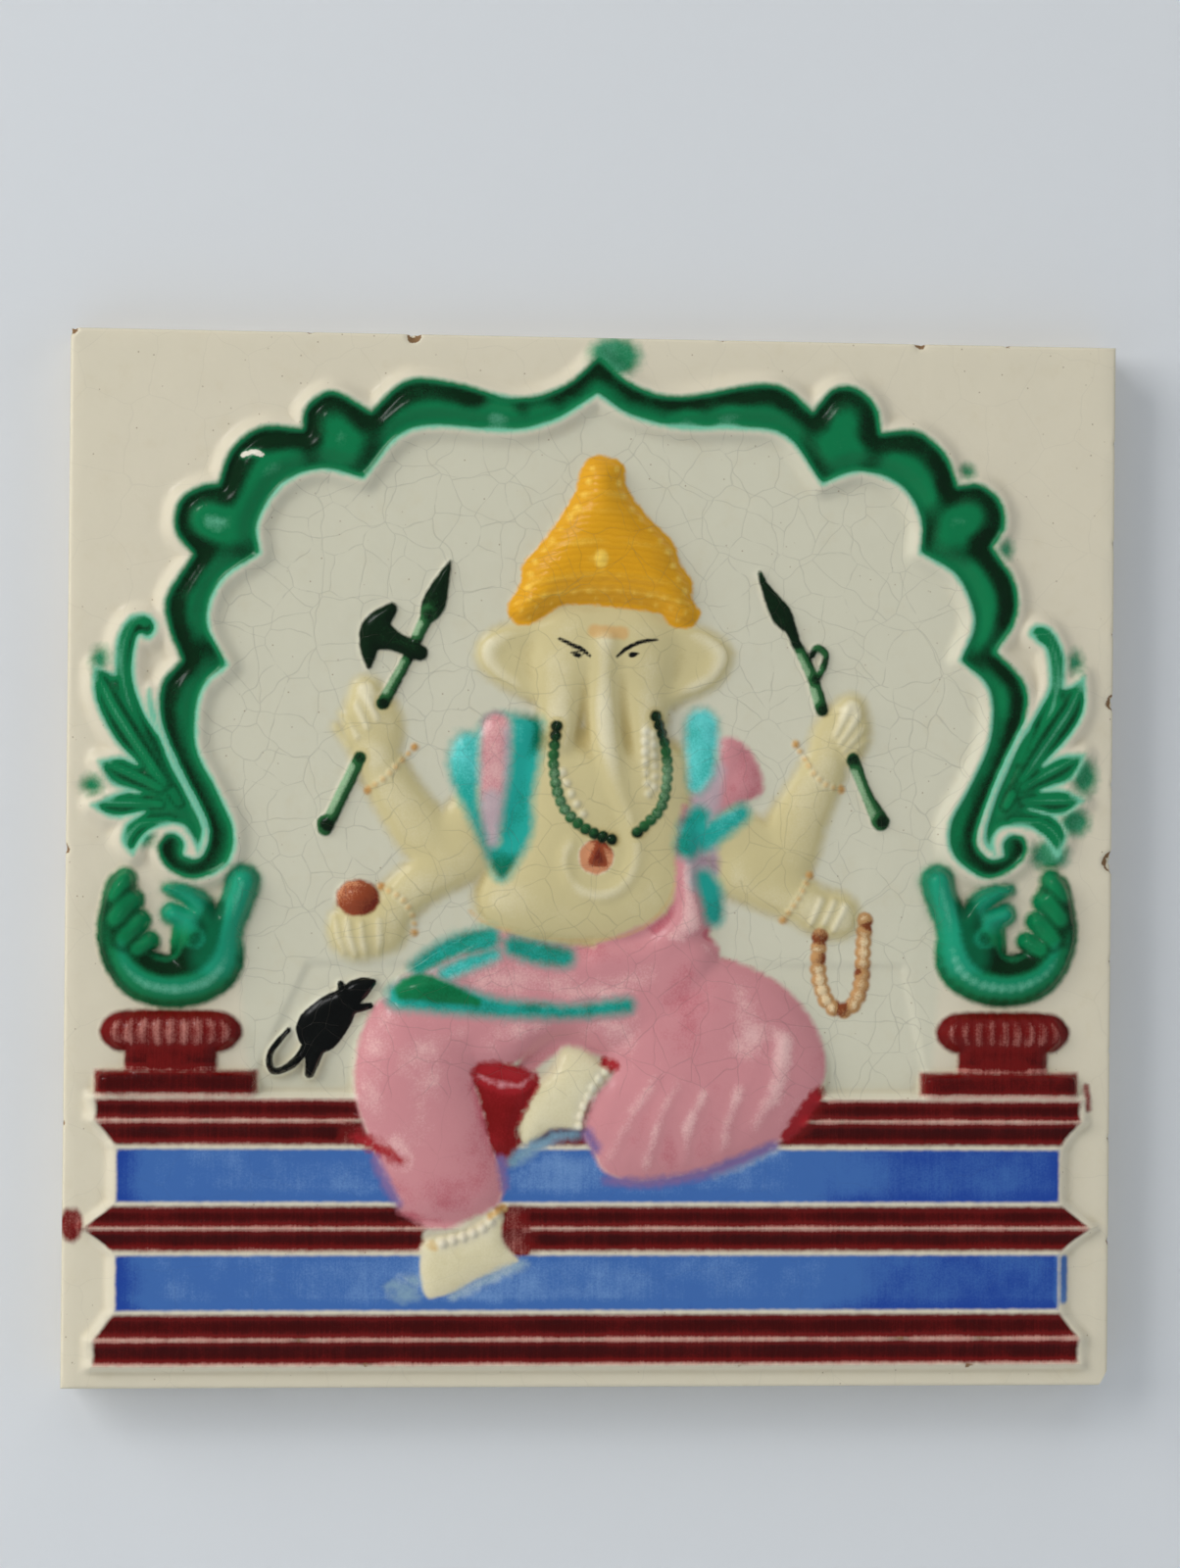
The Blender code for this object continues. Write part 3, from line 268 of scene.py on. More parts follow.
arch = {
    # height and outer slope of the rim, where it crests, and the hollow's floor
    "rim": 1.25, "slope": 2.0, "crest": -0.3, "floor": 0.5,
    # how far the floors swell, and over what reach
    "bandDome": 1.2, "bandReach": 3.2, "leafDome": 1.0, "leafReach": 2.0,
    # how far green gathered beside the rims and in the joins, with painted shade added on the
    # outer side; what is away from "middle" is outer
    "bandDark": 1.0, "leafDark": 0.35, "joinDark": 0.85, "middle": 12.0,
    "leavesLeft": (
        (-57.2, 0.9, 1), (-56.5, 3.0), (-56.8, 5.7), (-60.8, 13.4), (-63.2, 19.0), (-64.4, 24.2, 1),
        (-64.4, 21.4), (-63.2, 18.2, 1), (-65.2, 21.4), (-66.7, 26.4), (-66.1, 31.8), (-64.6, 31.5),
        (-63.5, 33.0), (-64.6, 34.8), (-67.2, 34.5), (-69.0, 31.4), (-69.3, 26.2, 1), (-70.9, 26.9),
        (-72.3, 27.4, 1), (-72.1, 22.9), (-69.6, 17.6), (-65.9, 13.4, 1), (-68.4, 14.4),
        (-71.5, 13.9, 1), (-69.6, 10.8), (-65.4, 9.4, 1), (-68.2, 9.4), (-72.4, 7.6, 1),
        (-69.3, 5.9), (-64.8, 6.7, 1), (-67.4, 4.9), (-68.0, 2.4), (-66.6, 0.6, 1), (-64.6, 3.6),
        (-61.6, 4.9), (-59.4, 4.7), (-58.0, 2.8),
    ),
    "leavesRight": (
        (58.5, 1.6, 1), (56.9, 4.0), (58.6, 10.6), (61.9, 17.9), (64.5, 22.3, 1), (66.4, 26.4),
        (65.9, 31.4), (64.4, 32.9), (63.4, 34.0), (64.6, 35.2), (66.9, 34.2), (68.5, 30.5),
        (68.5, 26.0, 1), (69.9, 26.4), (71.5, 27.8, 1), (71.6, 22.9), (69.4, 18.9),
        (65.4, 14.5, 1), (68.3, 16.0), (71.7, 16.3, 1), (69.7, 12.7), (65.2, 10.9, 1),
        (68.6, 11.0), (71.6, 9.6, 1), (68.1, 7.4), (63.4, 8.3, 1), (67.0, 7.3), (69.0, 4.5),
        (67.8, 1.4, 1), (65.9, 4.2), (62.9, 5.7), (59.6, 5.5), (58.3, 3.8),
    ),
    "blades": (
        ((-60.0, 8.0, 1.2), (-64.6, 16.0, 1.8), (-67.8, 24.0, 2.0), (-68.2, 30.0, 1.8),
         (-66.6, 34.0, 1.5), (-65.0, 33.6, 1.3)),
        ((-62.0, 10.5, 1.2), (-66.6, 17.0, 1.9), (-70.0, 22.4, 1.9), (-72.0, 27.0, 0.9)),
        ((-62.6, 10.0, 1.0), (-67.0, 12.2, 1.7), (-71.2, 14.0, 0.7)),
        ((-62.6, 7.8, 1.0), (-67.6, 8.0, 1.8), (-72.0, 7.8, 0.7)),
        ((-61.0, 5.6, 1.0), (-65.4, 5.0, 1.6), (-67.2, 3.0, 1.7), (-67.3, 1.4, 0.8)),
        ((-62.0, 15.5, 0.6), (-63.8, 20.0, 0.8), (-64.6, 23.8, 0.4)),
        ((60.0, 8.6, 1.2), (64.0, 16.6, 1.8), (67.2, 24.4, 2.0), (67.4, 30.0, 1.8),
         (66.0, 33.6, 1.5), (64.2, 33.8, 1.3)),
        ((61.8, 11.4, 1.2), (66.2, 18.0, 1.9), (69.4, 22.8, 1.9), (71.3, 27.2, 0.9)),
        ((62.6, 11.4, 1.0), (67.0, 14.0, 1.7), (71.2, 16.0, 0.7)),
        ((62.6, 9.4, 1.0), (67.2, 9.6, 1.8), (71.2, 9.6, 0.7)),
        ((61.0, 6.6, 1.0), (65.4, 6.2, 1.6), (67.8, 4.2, 1.7), (67.9, 1.8, 0.8)),
        ((61.8, 15.0, 0.6), (63.4, 18.8, 0.8), (64.4, 22.0, 0.4)),
    ),
    # where the green ran thin on the swelling foils and along the top: x, z, reach and how thin
    "pale": (
        (-56.5, 48.5, 4.2, 0.9), (-38.2, 62.7, 4.0, 0.45), (54.1, 51.2, 4.4, 0.5),
        (36.1, 65.4, 4.0, 0.4), (-51.2, 28.0, 2.6, 0.35), (-14.6, 65.0, 4.0, 0.9),
        (-8.6, 65.4, 3.2, 0.5), (12.7, 63.6, 3.6, 0.6), (18.6, 64.2, 3.6, 0.5),
        (58.0, 33.0, 3.4, 0.35), (-47.6, 56.2, 3.6, 0.25),
    ),
    # where it gathered in the joins between the foils
    "joins": (
        ((-42.8, 64.2, 0.8), (-42.0, 61.0, 1.1), (-41.8, 57.6, 0.9)),
        ((-32.8, 65.2, 0.8), (-33.0, 61.0, 1.1), (-34.0, 56.6, 1.2)),
        ((-55.2, 56.0, 1.0), (-54.6, 53.4, 0.8), (-52.0, 51.0, 0.5)),
        ((-59.0, 43.2, 1.0), (-55.6, 44.4, 0.9), (-49.6, 44.4, 1.2)),
        ((-57.4, 30.6, 1.0), (-54.0, 30.0, 1.1), (-51.0, 29.4, 1.0)),
        ((31.4, 64.4, 0.8), (30.6, 61.0, 1.0), (32.6, 57.0, 1.2)),
        ((41.2, 62.0, 0.8), (41.0, 60.0, 1.0), (38.8, 57.4, 0.8)),
        ((52.2, 54.8, 1.0), (49.4, 51.4, 0.9), (48.0, 47.4, 1.2)),
        ((59.4, 45.8, 1.0), (55.6, 45.2, 1.0), (51.4, 46.2, 0.7)),
        ((60.4, 32.0, 1.0), (57.2, 30.6, 1.1), (53.8, 29.6, 1.0)),
    ),
    # green that ran or was dabbed beside the leaves and above the point: x, z, half widths
    "dabs": (
        (-71.5, 28.5, 1.2, 1.5), (-72.5, 10.5, 1.4, 1.2), (-65.0, 3.0, 1.5, 1.2),
        (70.3, 29.8, 1.1, 1.5), (71.8, 13.0, 1.7, 2.4), (70.4, 6.4, 2.0, 1.8),
        (66.7, 1.6, 2.4, 1.9), (54.1, 57.6, 1.0, 1.0), (59.9, 46.3, 1.0, 1.2),
        (2.2, 73.4, 3.1, 2.4),
    ),
}


def basin(points, dome, reach, deep):
    # a raised rim along an outline's edge, and a domed floor within it
    edge = face.inside(points, 5.5)
    crest = arch["crest"]
    outside = arch["rim"] * ease(crest - arch["slope"], crest, edge)
    within = arch["floor"] + (arch["rim"] - arch["floor"]) * (1.0 - ease(crest, 1.3, edge))
    within = within + dome * ease(0.6, reach, face.blurred(np.clip(edge, 0.0, reach), 0.6))
    # the glaze gathered beside the rim and ran thin on the swelling floor; the darker band on the
    # side away from the niche is partly that gathering and partly painted shade
    soft = face.blurred(edge, 0.8)
    up, across = np.gradient(soft, face.step)
    away = face.z - arch["middle"]
    outer = ease(-0.55, 0.35, -(across * face.x + up * away) / (np.hypot(face.x, away) + 0.01))
    nearRim = ease(2.6 + 2.8 * outer, 0.6 + 1.8 * outer, soft)
    gathered = (deep + 0.1) * (0.4 + 0.6 * outer) * nearRim - 0.1
    joins = np.maximum.reduce([face.limb(widened(line, 1.3)) for line in arch["joins"]])
    joins = face.blurred(ease(-0.4, 0.6, joins), 0.8)
    gathered = gathered + (deep - gathered) * arch["joinDark"] * joins
    gathered = face.blurred(gathered, 0.6) - 1.6 * ease(0.8, -0.2, edge)
    for x, z, half, thin in arch["pale"]:
        gathered = gathered - thin * ease(0.0, 0.9, face.oval(x, z, half, half))
    wash("green", edge, gathered)
    return np.where(edge < crest, np.where(edge > crest - arch["slope"], outside, farOut), within)


def leafBlades():
    # blades that swell in the leaves, dark along both sides of their midribs
    found = face.blank()
    for line in arch["blades"]:
        share, depth = face.stroke(line)
        blade = 0.35 + swell(share, 0.9 * arch["leafDome"])
        found = np.maximum(found, np.where(share > 0.0, blade, farOut))
        side = ease(0.0, 0.25, share) * (1.0 - ease(0.55, 0.95, share))
        np.copyto(pools, 1.4 * side - 0.6, where=(depth > 0.05) & (washes["green"] > 0.5))
    return found


archHeight = np.maximum.reduce([
    basin(archRight + archLeft[-2:0:-1], arch["bandDome"], arch["bandReach"], arch["bandDark"]),
    *[basin(arch[leaves], arch["leafDome"], arch["leafReach"], arch["leafDark"])
      for leaves in ("leavesLeft", "leavesRight")],
    leafBlades(),
])
for x, z, halfWidth, halfHeight in arch["dabs"]:
    dab = face.oval(x, z, 1.3 * halfWidth, 1.3 * halfHeight)
    dab = 0.6 * dab * min(halfWidth, halfHeight) - 0.35
    wash("green", dab, np.where(washes["green"] < -0.2, -0.35, pools))

# the cream niche within the arch has its own finer crackle
niche = face.inside(archRight[:18] + ((50.0, -34.2, 1), (-50.0, -34.2, 1)) + archLeft[17:0:-1])


print("drawing the creatures and bulbs")
creature = {
    "rise": 2.3, "lobeDrop": 0.4, "eyeRise": 0.3, "lipRise": 0.3, "lobeCrest": 0.12,
    # where the left one lies against the mirrored right one
    "shiftX": -0.6, "shiftZ": -0.7,
    # fine ribs round the belly: how many in a full turn, how high, how dark, and the left
    # one's share
    "ribs": 38, "ribRise": 0.02, "ribShade": 0.2, "leftRibs": 0.35,
    "body": (
        ((67.6, -3.6, 2.2), (67.9, -10.4, 3.0), (64.9, -15.6, 3.6), (59.4, -16.8, 3.8),
         (54.6, -14.4, 4.2), (54.2, -10.6, 3.6)),
        ((54.2, -13.0, 3.4), (52.6, -8.6, 2.5), (51.0, -5.2, 2.2), (50.2, -2.5, 2.3)),
        ((57.4, -12.6, 3.0), (57.2, -9.8, 3.0), (57.4, -8.4, 2.0)),
        ((54.6, -8.6, 1.3), (56.2, -5.8, 1.5), (58.6, -4.3, 1.2), (61.0, -3.6, 0.6)),
        ((57.4, -8.2, 1.4), (60.2, -7.2, 1.5)),
    ),
    "lobes": (
        ((67.0, -2.2, 1.5), (68.3, -4.6, 1.7)),
        ((66.0, -5.2, 1.6), (68.1, -7.8, 1.8)),
        ((64.9, -8.2, 1.5), (67.0, -10.8, 1.7)),
        ((63.5, -11.2, 1.4), (65.2, -12.2, 1.3)),
    ),
    "centre": (60.3, -9.5), "eye": (57.0, -10.6, 1.3),
    # where the glaze ran thin and pale along the belly and trunk
    "pale": ((67.6, -11.4, 1.3), (66.6, -14.5, 1.8), (63.5, -17.0, 2.0), (59.4, -17.6, 2.4),
             (55.0, -16.4, 2.4), (52.6, -12.4, 1.9), (51.6, -8.0, 1.3), (50.9, -4.5, 1.6),
             (50.2, -2.2, 1.4)),
    # where it gathered in the fold within the belly and behind the beak
    "fold": ((66.4, -11.8, 1.1), (64.2, -13.6, 1.8), (61.0, -14.7, 1.7), (58.2, -14.2, 2.2),
             (56.0, -12.4, 2.4), (54.8, -9.6, 1.7), (54.0, -6.4, 1.0)),
    # the pale ridge of the lip above the fold
    "lip": ((58.8, -11.4, 0.3), (59.4, -13.0, 0.4), (61.0, -13.8, 0.45), (63.0, -13.3, 0.4),
            (65.0, -11.9, 0.35), (66.1, -10.9, 0.2)),
}


def mirrored(line):
    return tuple((creature["shiftX"] - x, z + creature["shiftZ"], r) for x, z, r in line)


def creatureHeight(side):
    turned = mirrored if side < 0 else tuple
    bodyLines, lobes = ([turned(line) for line in creature[key]] for key in ("body", "lobes"))
    pale, fold, lip = (face.limb(turned(creature[key])) for key in ("pale", "fold", "lip"))
    parts = [face.stroke(line) for line in bodyLines]
    inside = np.maximum.reduce([depth for share, depth in parts])
    body = meltAll([swell(share, creature["rise"]) for share, depth in parts], 0.9)
    awayX = side * (face.x - (creature["shiftX"] if side < 0 else 0.0)) - creature["centre"][0]
    awayZ = face.z - (creature["shiftZ"] if side < 0 else 0.0) - creature["centre"][1]
    turn = np.arctan2(awayZ, awayX)
    ring = np.hypot(awayX, awayZ)
    ribs = np.cos(turn * creature["ribs"]) * ease(5.0, 7.0, ring)
    ribs = ribs * ease(0.2, 1.2, body) * ease(0.35, -0.1, np.sin(turn))
    eyeX, eyeZ, eyeRing = creature["eye"]
    off = np.hypot(awayX - eyeX + creature["centre"][0], awayZ - eyeZ + creature["centre"][1])
    eye = np.exp(-(((off - eyeRing) / 0.4) ** 2)) + 0.8 * np.exp(-((off / 0.5) ** 2))
    fine = creature["eyeRise"] * eye + creature["lipRise"] * ease(0.0, 0.8, lip)
    body = body + fine * ease(0.2, 1.0, body)
    # dark along the back, in the fold and round each lobe, pale across the belly
    gathered = 0.1 + 0.75 * ease(-0.5, 0.2, inside) * ease(2.2, 0.7, inside) * ease(4.5, 7.5, ring)
    gathered = gathered + 1.1 * ease(-0.7, 0.3, fold) - 0.8 * ease(-0.2, 0.8, pale)
    gathered = face.blurred(np.clip(gathered, -1.1, 1.3), 0.6)
    gathered = gathered - 0.9 * np.clip(eye, 0.0, 1.0) - ease(0.0, 0.7, lip)
    for line in lobes:
        share, depth = face.stroke(line)
        inside = np.maximum(inside, depth)
        body = melt(body, swell(share, creature["rise"] - creature["lobeDrop"]), 0.5)
        body = body + creature["lobeCrest"] * ease(0.0, 0.7, share)
        rim = np.exp(-((share / 0.3) ** 2))
        body = body - creature["lobeCrest"] * rim * ease(0.3, 1.0, body)
        near = ease(-0.5, 0.1, share) * ease(-0.3, 0.9, inside)
        gathered = gathered * (1.0 - near) + near * (0.85 - ease(0.0, 0.8, share))
    ribs = ribs * (1.0 if side > 0 else creature["leftRibs"])
    gathered = gathered - creature["ribShade"] * ribs * ease(-1.5, 0.3, pale)
    wash("green", inside, face.blurred(np.clip(gathered, -1.0, 1.1), 0.2))
    wash("sea", np.maximum.reduce([parts[number][1] for number in (1, 3, 4)]) + 0.2)
    wash("sea", 2.4 * face.blurred(ease(-0.2, 0.8, pale), 0.6) - 2.0)
    return face.blurred(np.maximum(body, -1.0), 0.35) + creature["ribRise"] * ribs


creaturesHeight = np.maximum(creatureHeight(1.0), creatureHeight(-1.0))

bulb = {
    "rise": 2.1, "halfHeight": 2.9, "ribs": 10, "ribDepth": 0.16, "footHalf": 6.5, "baseTop": -34.2,
    # half of the cushion's outline as shares of its half width and half height
    "cushion": ((1.0, 0.0), (0.86, 0.74), (0.55, 1.0), (-0.55, 1.0), (-0.86, 0.74),
                (-1.0, 0.0), (-0.86, -0.74), (-0.55, -1.0), (0.55, -1.0), (0.86, -0.74)),
    "centres": ((-60.9, -24.8, 10.1), (60.1, -24.6, 9.8)),
    "plinths": ((-71.7, -48.5), (48.0, 71.2)), "plinthTop": -30.4, "plinthRise": 1.9,
}


def bulbsHeight():
    found = face.blank()
    for (x, z, halfWidth), (start, end) in zip(bulb["centres"], bulb["plinths"]):
        outline = [(x + a * halfWidth, z + b * bulb["halfHeight"]) for a, b in bulb["cushion"]]
        edge = face.inside(outline)
        cushion = face.blurred(np.clip(edge / bulb["halfHeight"], -1.0, 1.0), 0.3)
        cushion = swell(cushion, bulb["rise"])
        rounded = 1.0 - ((face.z - z) / (1.5 * bulb["halfHeight"])) ** 2
        bow = (face.x - x) / np.sqrt(np.clip(rounded, 0.3, 1.0))
        ribs = np.cos(2.0 * np.pi * bulb["ribs"] * bow / (2.0 * halfWidth))
        cushion = cushion + bulb["ribDepth"] * (ribs - 1.0) * ease(0.2, 1.0, cushion)
        sides = bulb["footHalf"] - np.abs(face.x - x)
        foot = np.minimum(sides, np.minimum(face.z - bulb["baseTop"], z - face.z))
        neck = swell(face.blurred(np.clip(foot / 2.2, -1.0, 1.0), 0.5), 0.7 * bulb["rise"])
        bar = face.block(start, end, bulb["baseTop"] - 0.6, bulb["plinthTop"])
        plinth = swell(face.blurred(np.clip(bar, -1.0, 1.0), 0.6), bulb["plinthRise"])
        found = np.maximum(found, np.maximum(melt(cushion, neck, 0.5), plinth))
        foot = np.minimum(sides, np.minimum(face.z - bulb["plinthTop"], z - face.z))
        wash("maroon", foot + 0.2, 0.65 - 1.2 * ease(-29.6, -30.3, face.z))
        bar = face.block(start, end, bulb["baseTop"] + 0.6, bulb["plinthTop"])
        wash("maroon", bar + 0.1, 1.3 * ease(-0.2, 0.7, bar) - 0.6)
        # the thin bare line below the plinth
        bar = face.block(start, end, bulb["baseTop"] - 0.3, bulb["baseTop"] + 0.9)
        wash("maroon", bar - 0.4, -1.0, 0.2)
        wash("maroon", edge + 0.2, 0.4 - (0.75 + 0.3 * ribs) * ease(0.2, 1.5, edge))
    return found


print("drawing the base")
base = {
    # top, ridge and bottom of each
    "mouldings": ((-33.9, -37.5, -41.5), (-49.3, -53.0, -56.8), (-64.9, -69.0, -73.2)),
    "top": -34.2, "half": 71.8, "setback": 3.2, "nosing": 1.6, "bandRise": 1.3, "ridgeRise": 2.3,
    "ledgeRise": 1.7, "fluteRise": 0.9, "ledge": 0.5, "endSlope": 1.7,
    # colour that strayed at the ends: the smear beside the nosing, and a line of blue
    "smear": (-74.8, -52.6, 1.7, 2.6), "blueLine": ((69.4, -57.5, 0.6), (69.4, -63.5, 0.6)),
}


def baseHeight():
    # three mouldings, each of two flutes that meet in a ridge, with two flat bands between them
    ledge = base["ledge"]
    levels, ends = [], []
    full = base["half"]
    nose, short = full + base["nosing"], full - base["setback"]
    halves = ((full, full, short), (short, nose, short), (short, full, full))
    for (top, ridge, bottom), widths in zip(base["mouldings"], halves):
        levels += [(-top, base["bandRise"]), (ledge - top, base["ledgeRise"]),
                   (-ridge, base["ridgeRise"]),
                   (-bottom - ledge, base["ledgeRise"]), (-bottom, base["bandRise"])]
        ends += zip((-top, -ridge, -bottom), widths)
    profile = np.interp(-face.line, *zip(*levels))
    inFlute = np.full(len(face.line), -3.0)
    for top, ridge, bottom in base["mouldings"]:
        for start, end in ((top - ledge, ridge), (ridge, bottom + ledge)):
            t = np.clip((start - face.line) / (start - end), 0.0, 1.0)
            sag = 0.5 * (base["ledgeRise"] + base["ridgeRise"]) - base["fluteRise"]
            profile = profile - sag * np.sqrt(np.clip(1.0 - (2.0 * t - 1.0) ** 2, 0.0, 1.0))
            inFlute = np.maximum(inFlute, np.minimum(start - face.line, face.line - end))
    edge = np.interp(-face.line, *zip(*ends))[:, None] - np.abs(face.x)
    top, bottom = base["mouldings"][0][0], base["mouldings"][-1][2]
    upright = np.minimum(top - face.z, face.z - bottom)
    edge = np.minimum(edge, upright * base["endSlope"] / ledge)
    # the flutes are maroon and the bands blue, each short of the bare ledge between them
    inFlute = inFlute[:, None]
    wash("maroon", np.minimum(inFlute, edge - 0.3), 1.8 * ease(0.1, 1.1, inFlute) - 0.95)
    for above, below in zip(base["mouldings"][:-1], base["mouldings"][1:]):
        inBand = np.minimum(above[2] - face.z, face.z - below[0])
        gathered = 0.9 * ease(7.0, 0.0, edge) * (face.x < 0.0)
        gathered = gathered + 0.8 * ease(26.0, 48.0, face.x) - 0.2
        paler = np.exp(-(((face.x + 14.0) / 24.0) ** 2))
        gathered = gathered - 0.35 * paler * ease(0.0, 2.5, inBand)
        wash("blue", np.minimum(inBand - 0.1, edge - 0.2),
             gathered + 0.35 * ease(1.8, 0.3, face.z - below[0]) + 0.25 * ease(3.0, 0.0, edge))
    return profile[:, None] * ease(-base["endSlope"], 0.0, edge)


baseHeights = baseHeight()
bulbHeights = bulbsHeight()
wash("maroon", face.oval(*base["smear"]) * 1.6, -0.2)
wash("blue", face.depth(base["blueLine"]), -0.3)

print("drawing the figure")
figure = {
    "rise": 3.0, "seatRun": 10.0, "seatShare": 0.75,
    "trimRise": 0.35, "pleatRise": 0.4, "ringRise": 0.15, "knobRise": 0.22, "fingerRise": 0.24,
    # heights of the parts as shares of the figure's rise
    "crown": 0.95, "jewel": 1.1, "face": 0.8, "ears": 0.36, "trunk": 0.98, "torso": 0.82,
    "arms": 0.42, "hands": 0.4, "shawls": 0.42, "sash": 0.75, "lap": 0.72, "leg": 0.95,
    "knee": 1.0, "drape": 0.3, "feet": 0.34, "beads": 0.16, "held": 0.3,
    # how far in from its outline each part swells
    "slopes": {"ears": 4.0, "torso": 9.0, "shawls": 4.0, "drape": 2.0, "lap": 4.0, "leg": 8.0,
               "knee": 11.0, "feet": 3.2, "crown": 5.5},
    # the fold of a cloth that runs along a line: its half width and depth
    "foldHalf": 1.6, "crease": 0.22,
}
crown = {
    "outline": (
        (0.4, 58.8), (3.4, 57.6), (3.6, 55.3), (4.8, 52.7), (7.7, 49.4), (10.7, 46.4), (12.0, 42.9),
        (13.5, 41.0), (13.6, 38.2), (14.8, 36.2), (13.6, 34.6), (11.0, 34.5), (8.8, 36.4),
        (3.5, 37.1), (-2.0, 37.6), (-6.0, 37.0), (-9.4, 34.7), (-12.0, 34.9), (-12.8, 36.9),
        (-10.9, 40.3), (-10.7, 43.0), (-8.4, 45.6), (-5.2, 50.1), (-3.2, 53.6), (-2.4, 56.6),
        (-1.4, 58.2),
    ),
    "rings": (39.4, 41.6, 46.4, 50.9, 53.3), "jewel": (0.3, 43.9, 1.4, 1.8),
    # rows of knobs down both sides
    "sides": (
        ((-1.0, 57.0), (-2.2, 53.4), (-4.2, 49.8), (-7.4, 45.8), (-9.6, 42.6), (-10.2, 39.6)),
        ((2.6, 57.0), (3.6, 53.0), (6.6, 49.2), (9.8, 45.6), (11.2, 42.4), (12.6, 39.4)),
    ),
}
head = {
    "ears": (
        ((-5.0, 34.6), (-9.6, 35.0), (-14.2, 34.0), (-17.2, 31.6), (-17.2, 28.6), (-14.8, 26.0),
         (-10.8, 23.8), (-5.0, 21.8)),
        ((7.0, 34.8), (11.4, 35.0), (15.8, 34.0), (19.4, 31.4), (19.4, 28.6), (17.2, 25.6),
         (13.2, 23.6), (7.0, 21.6)),
    ),
    "cheeks": (
        ((-3.0, 30.8, 7.2), (5.0, 30.8, 7.2)),
        ((-4.6, 27.5, 5.4), (-5.0, 22.0, 3.8), (-5.2, 17.0, 2.6)),
        ((6.2, 27.5, 5.4), (6.8, 21.0, 3.8), (7.0, 15.0, 2.6)),
    ),
    "trunk": (
        (1.0, 32.0, 2.6), (0.9, 25.0, 3.1), (1.4, 18.0, 3.2), (2.6, 12.0, 3.1), (4.6, 6.6, 2.7),
        (5.8, 2.0, 2.4), (4.6, -2.4, 2.1), (0.8, -4.7, 1.9), (-3.2, -3.2, 1.8), (-4.7, 0.2, 1.6),
        (-3.6, 3.0, 1.3),
    ),
    "brows": (
        ((-5.7, 32.3, 0.24), (-4.0, 31.5, 0.3), (-2.4, 30.8, 0.32), (-1.1, 29.7, 0.2)),
        ((8.7, 32.3, 0.18), (6.4, 32.0, 0.28), (4.2, 31.0, 0.32), (2.7, 29.7, 0.2)),
    ),
    "eyes": (
        ((-4.0, 30.2, 0.14), (-3.3, 30.0, 0.36), (-2.7, 29.8, 0.34)),
        ((4.7, 30.0, 0.36), (5.2, 30.1, 0.36), (5.9, 30.3, 0.12)),
    ),
    "mark": ((-0.6, 33.4, 0.85), (3.5, 33.2, 0.85)),
}
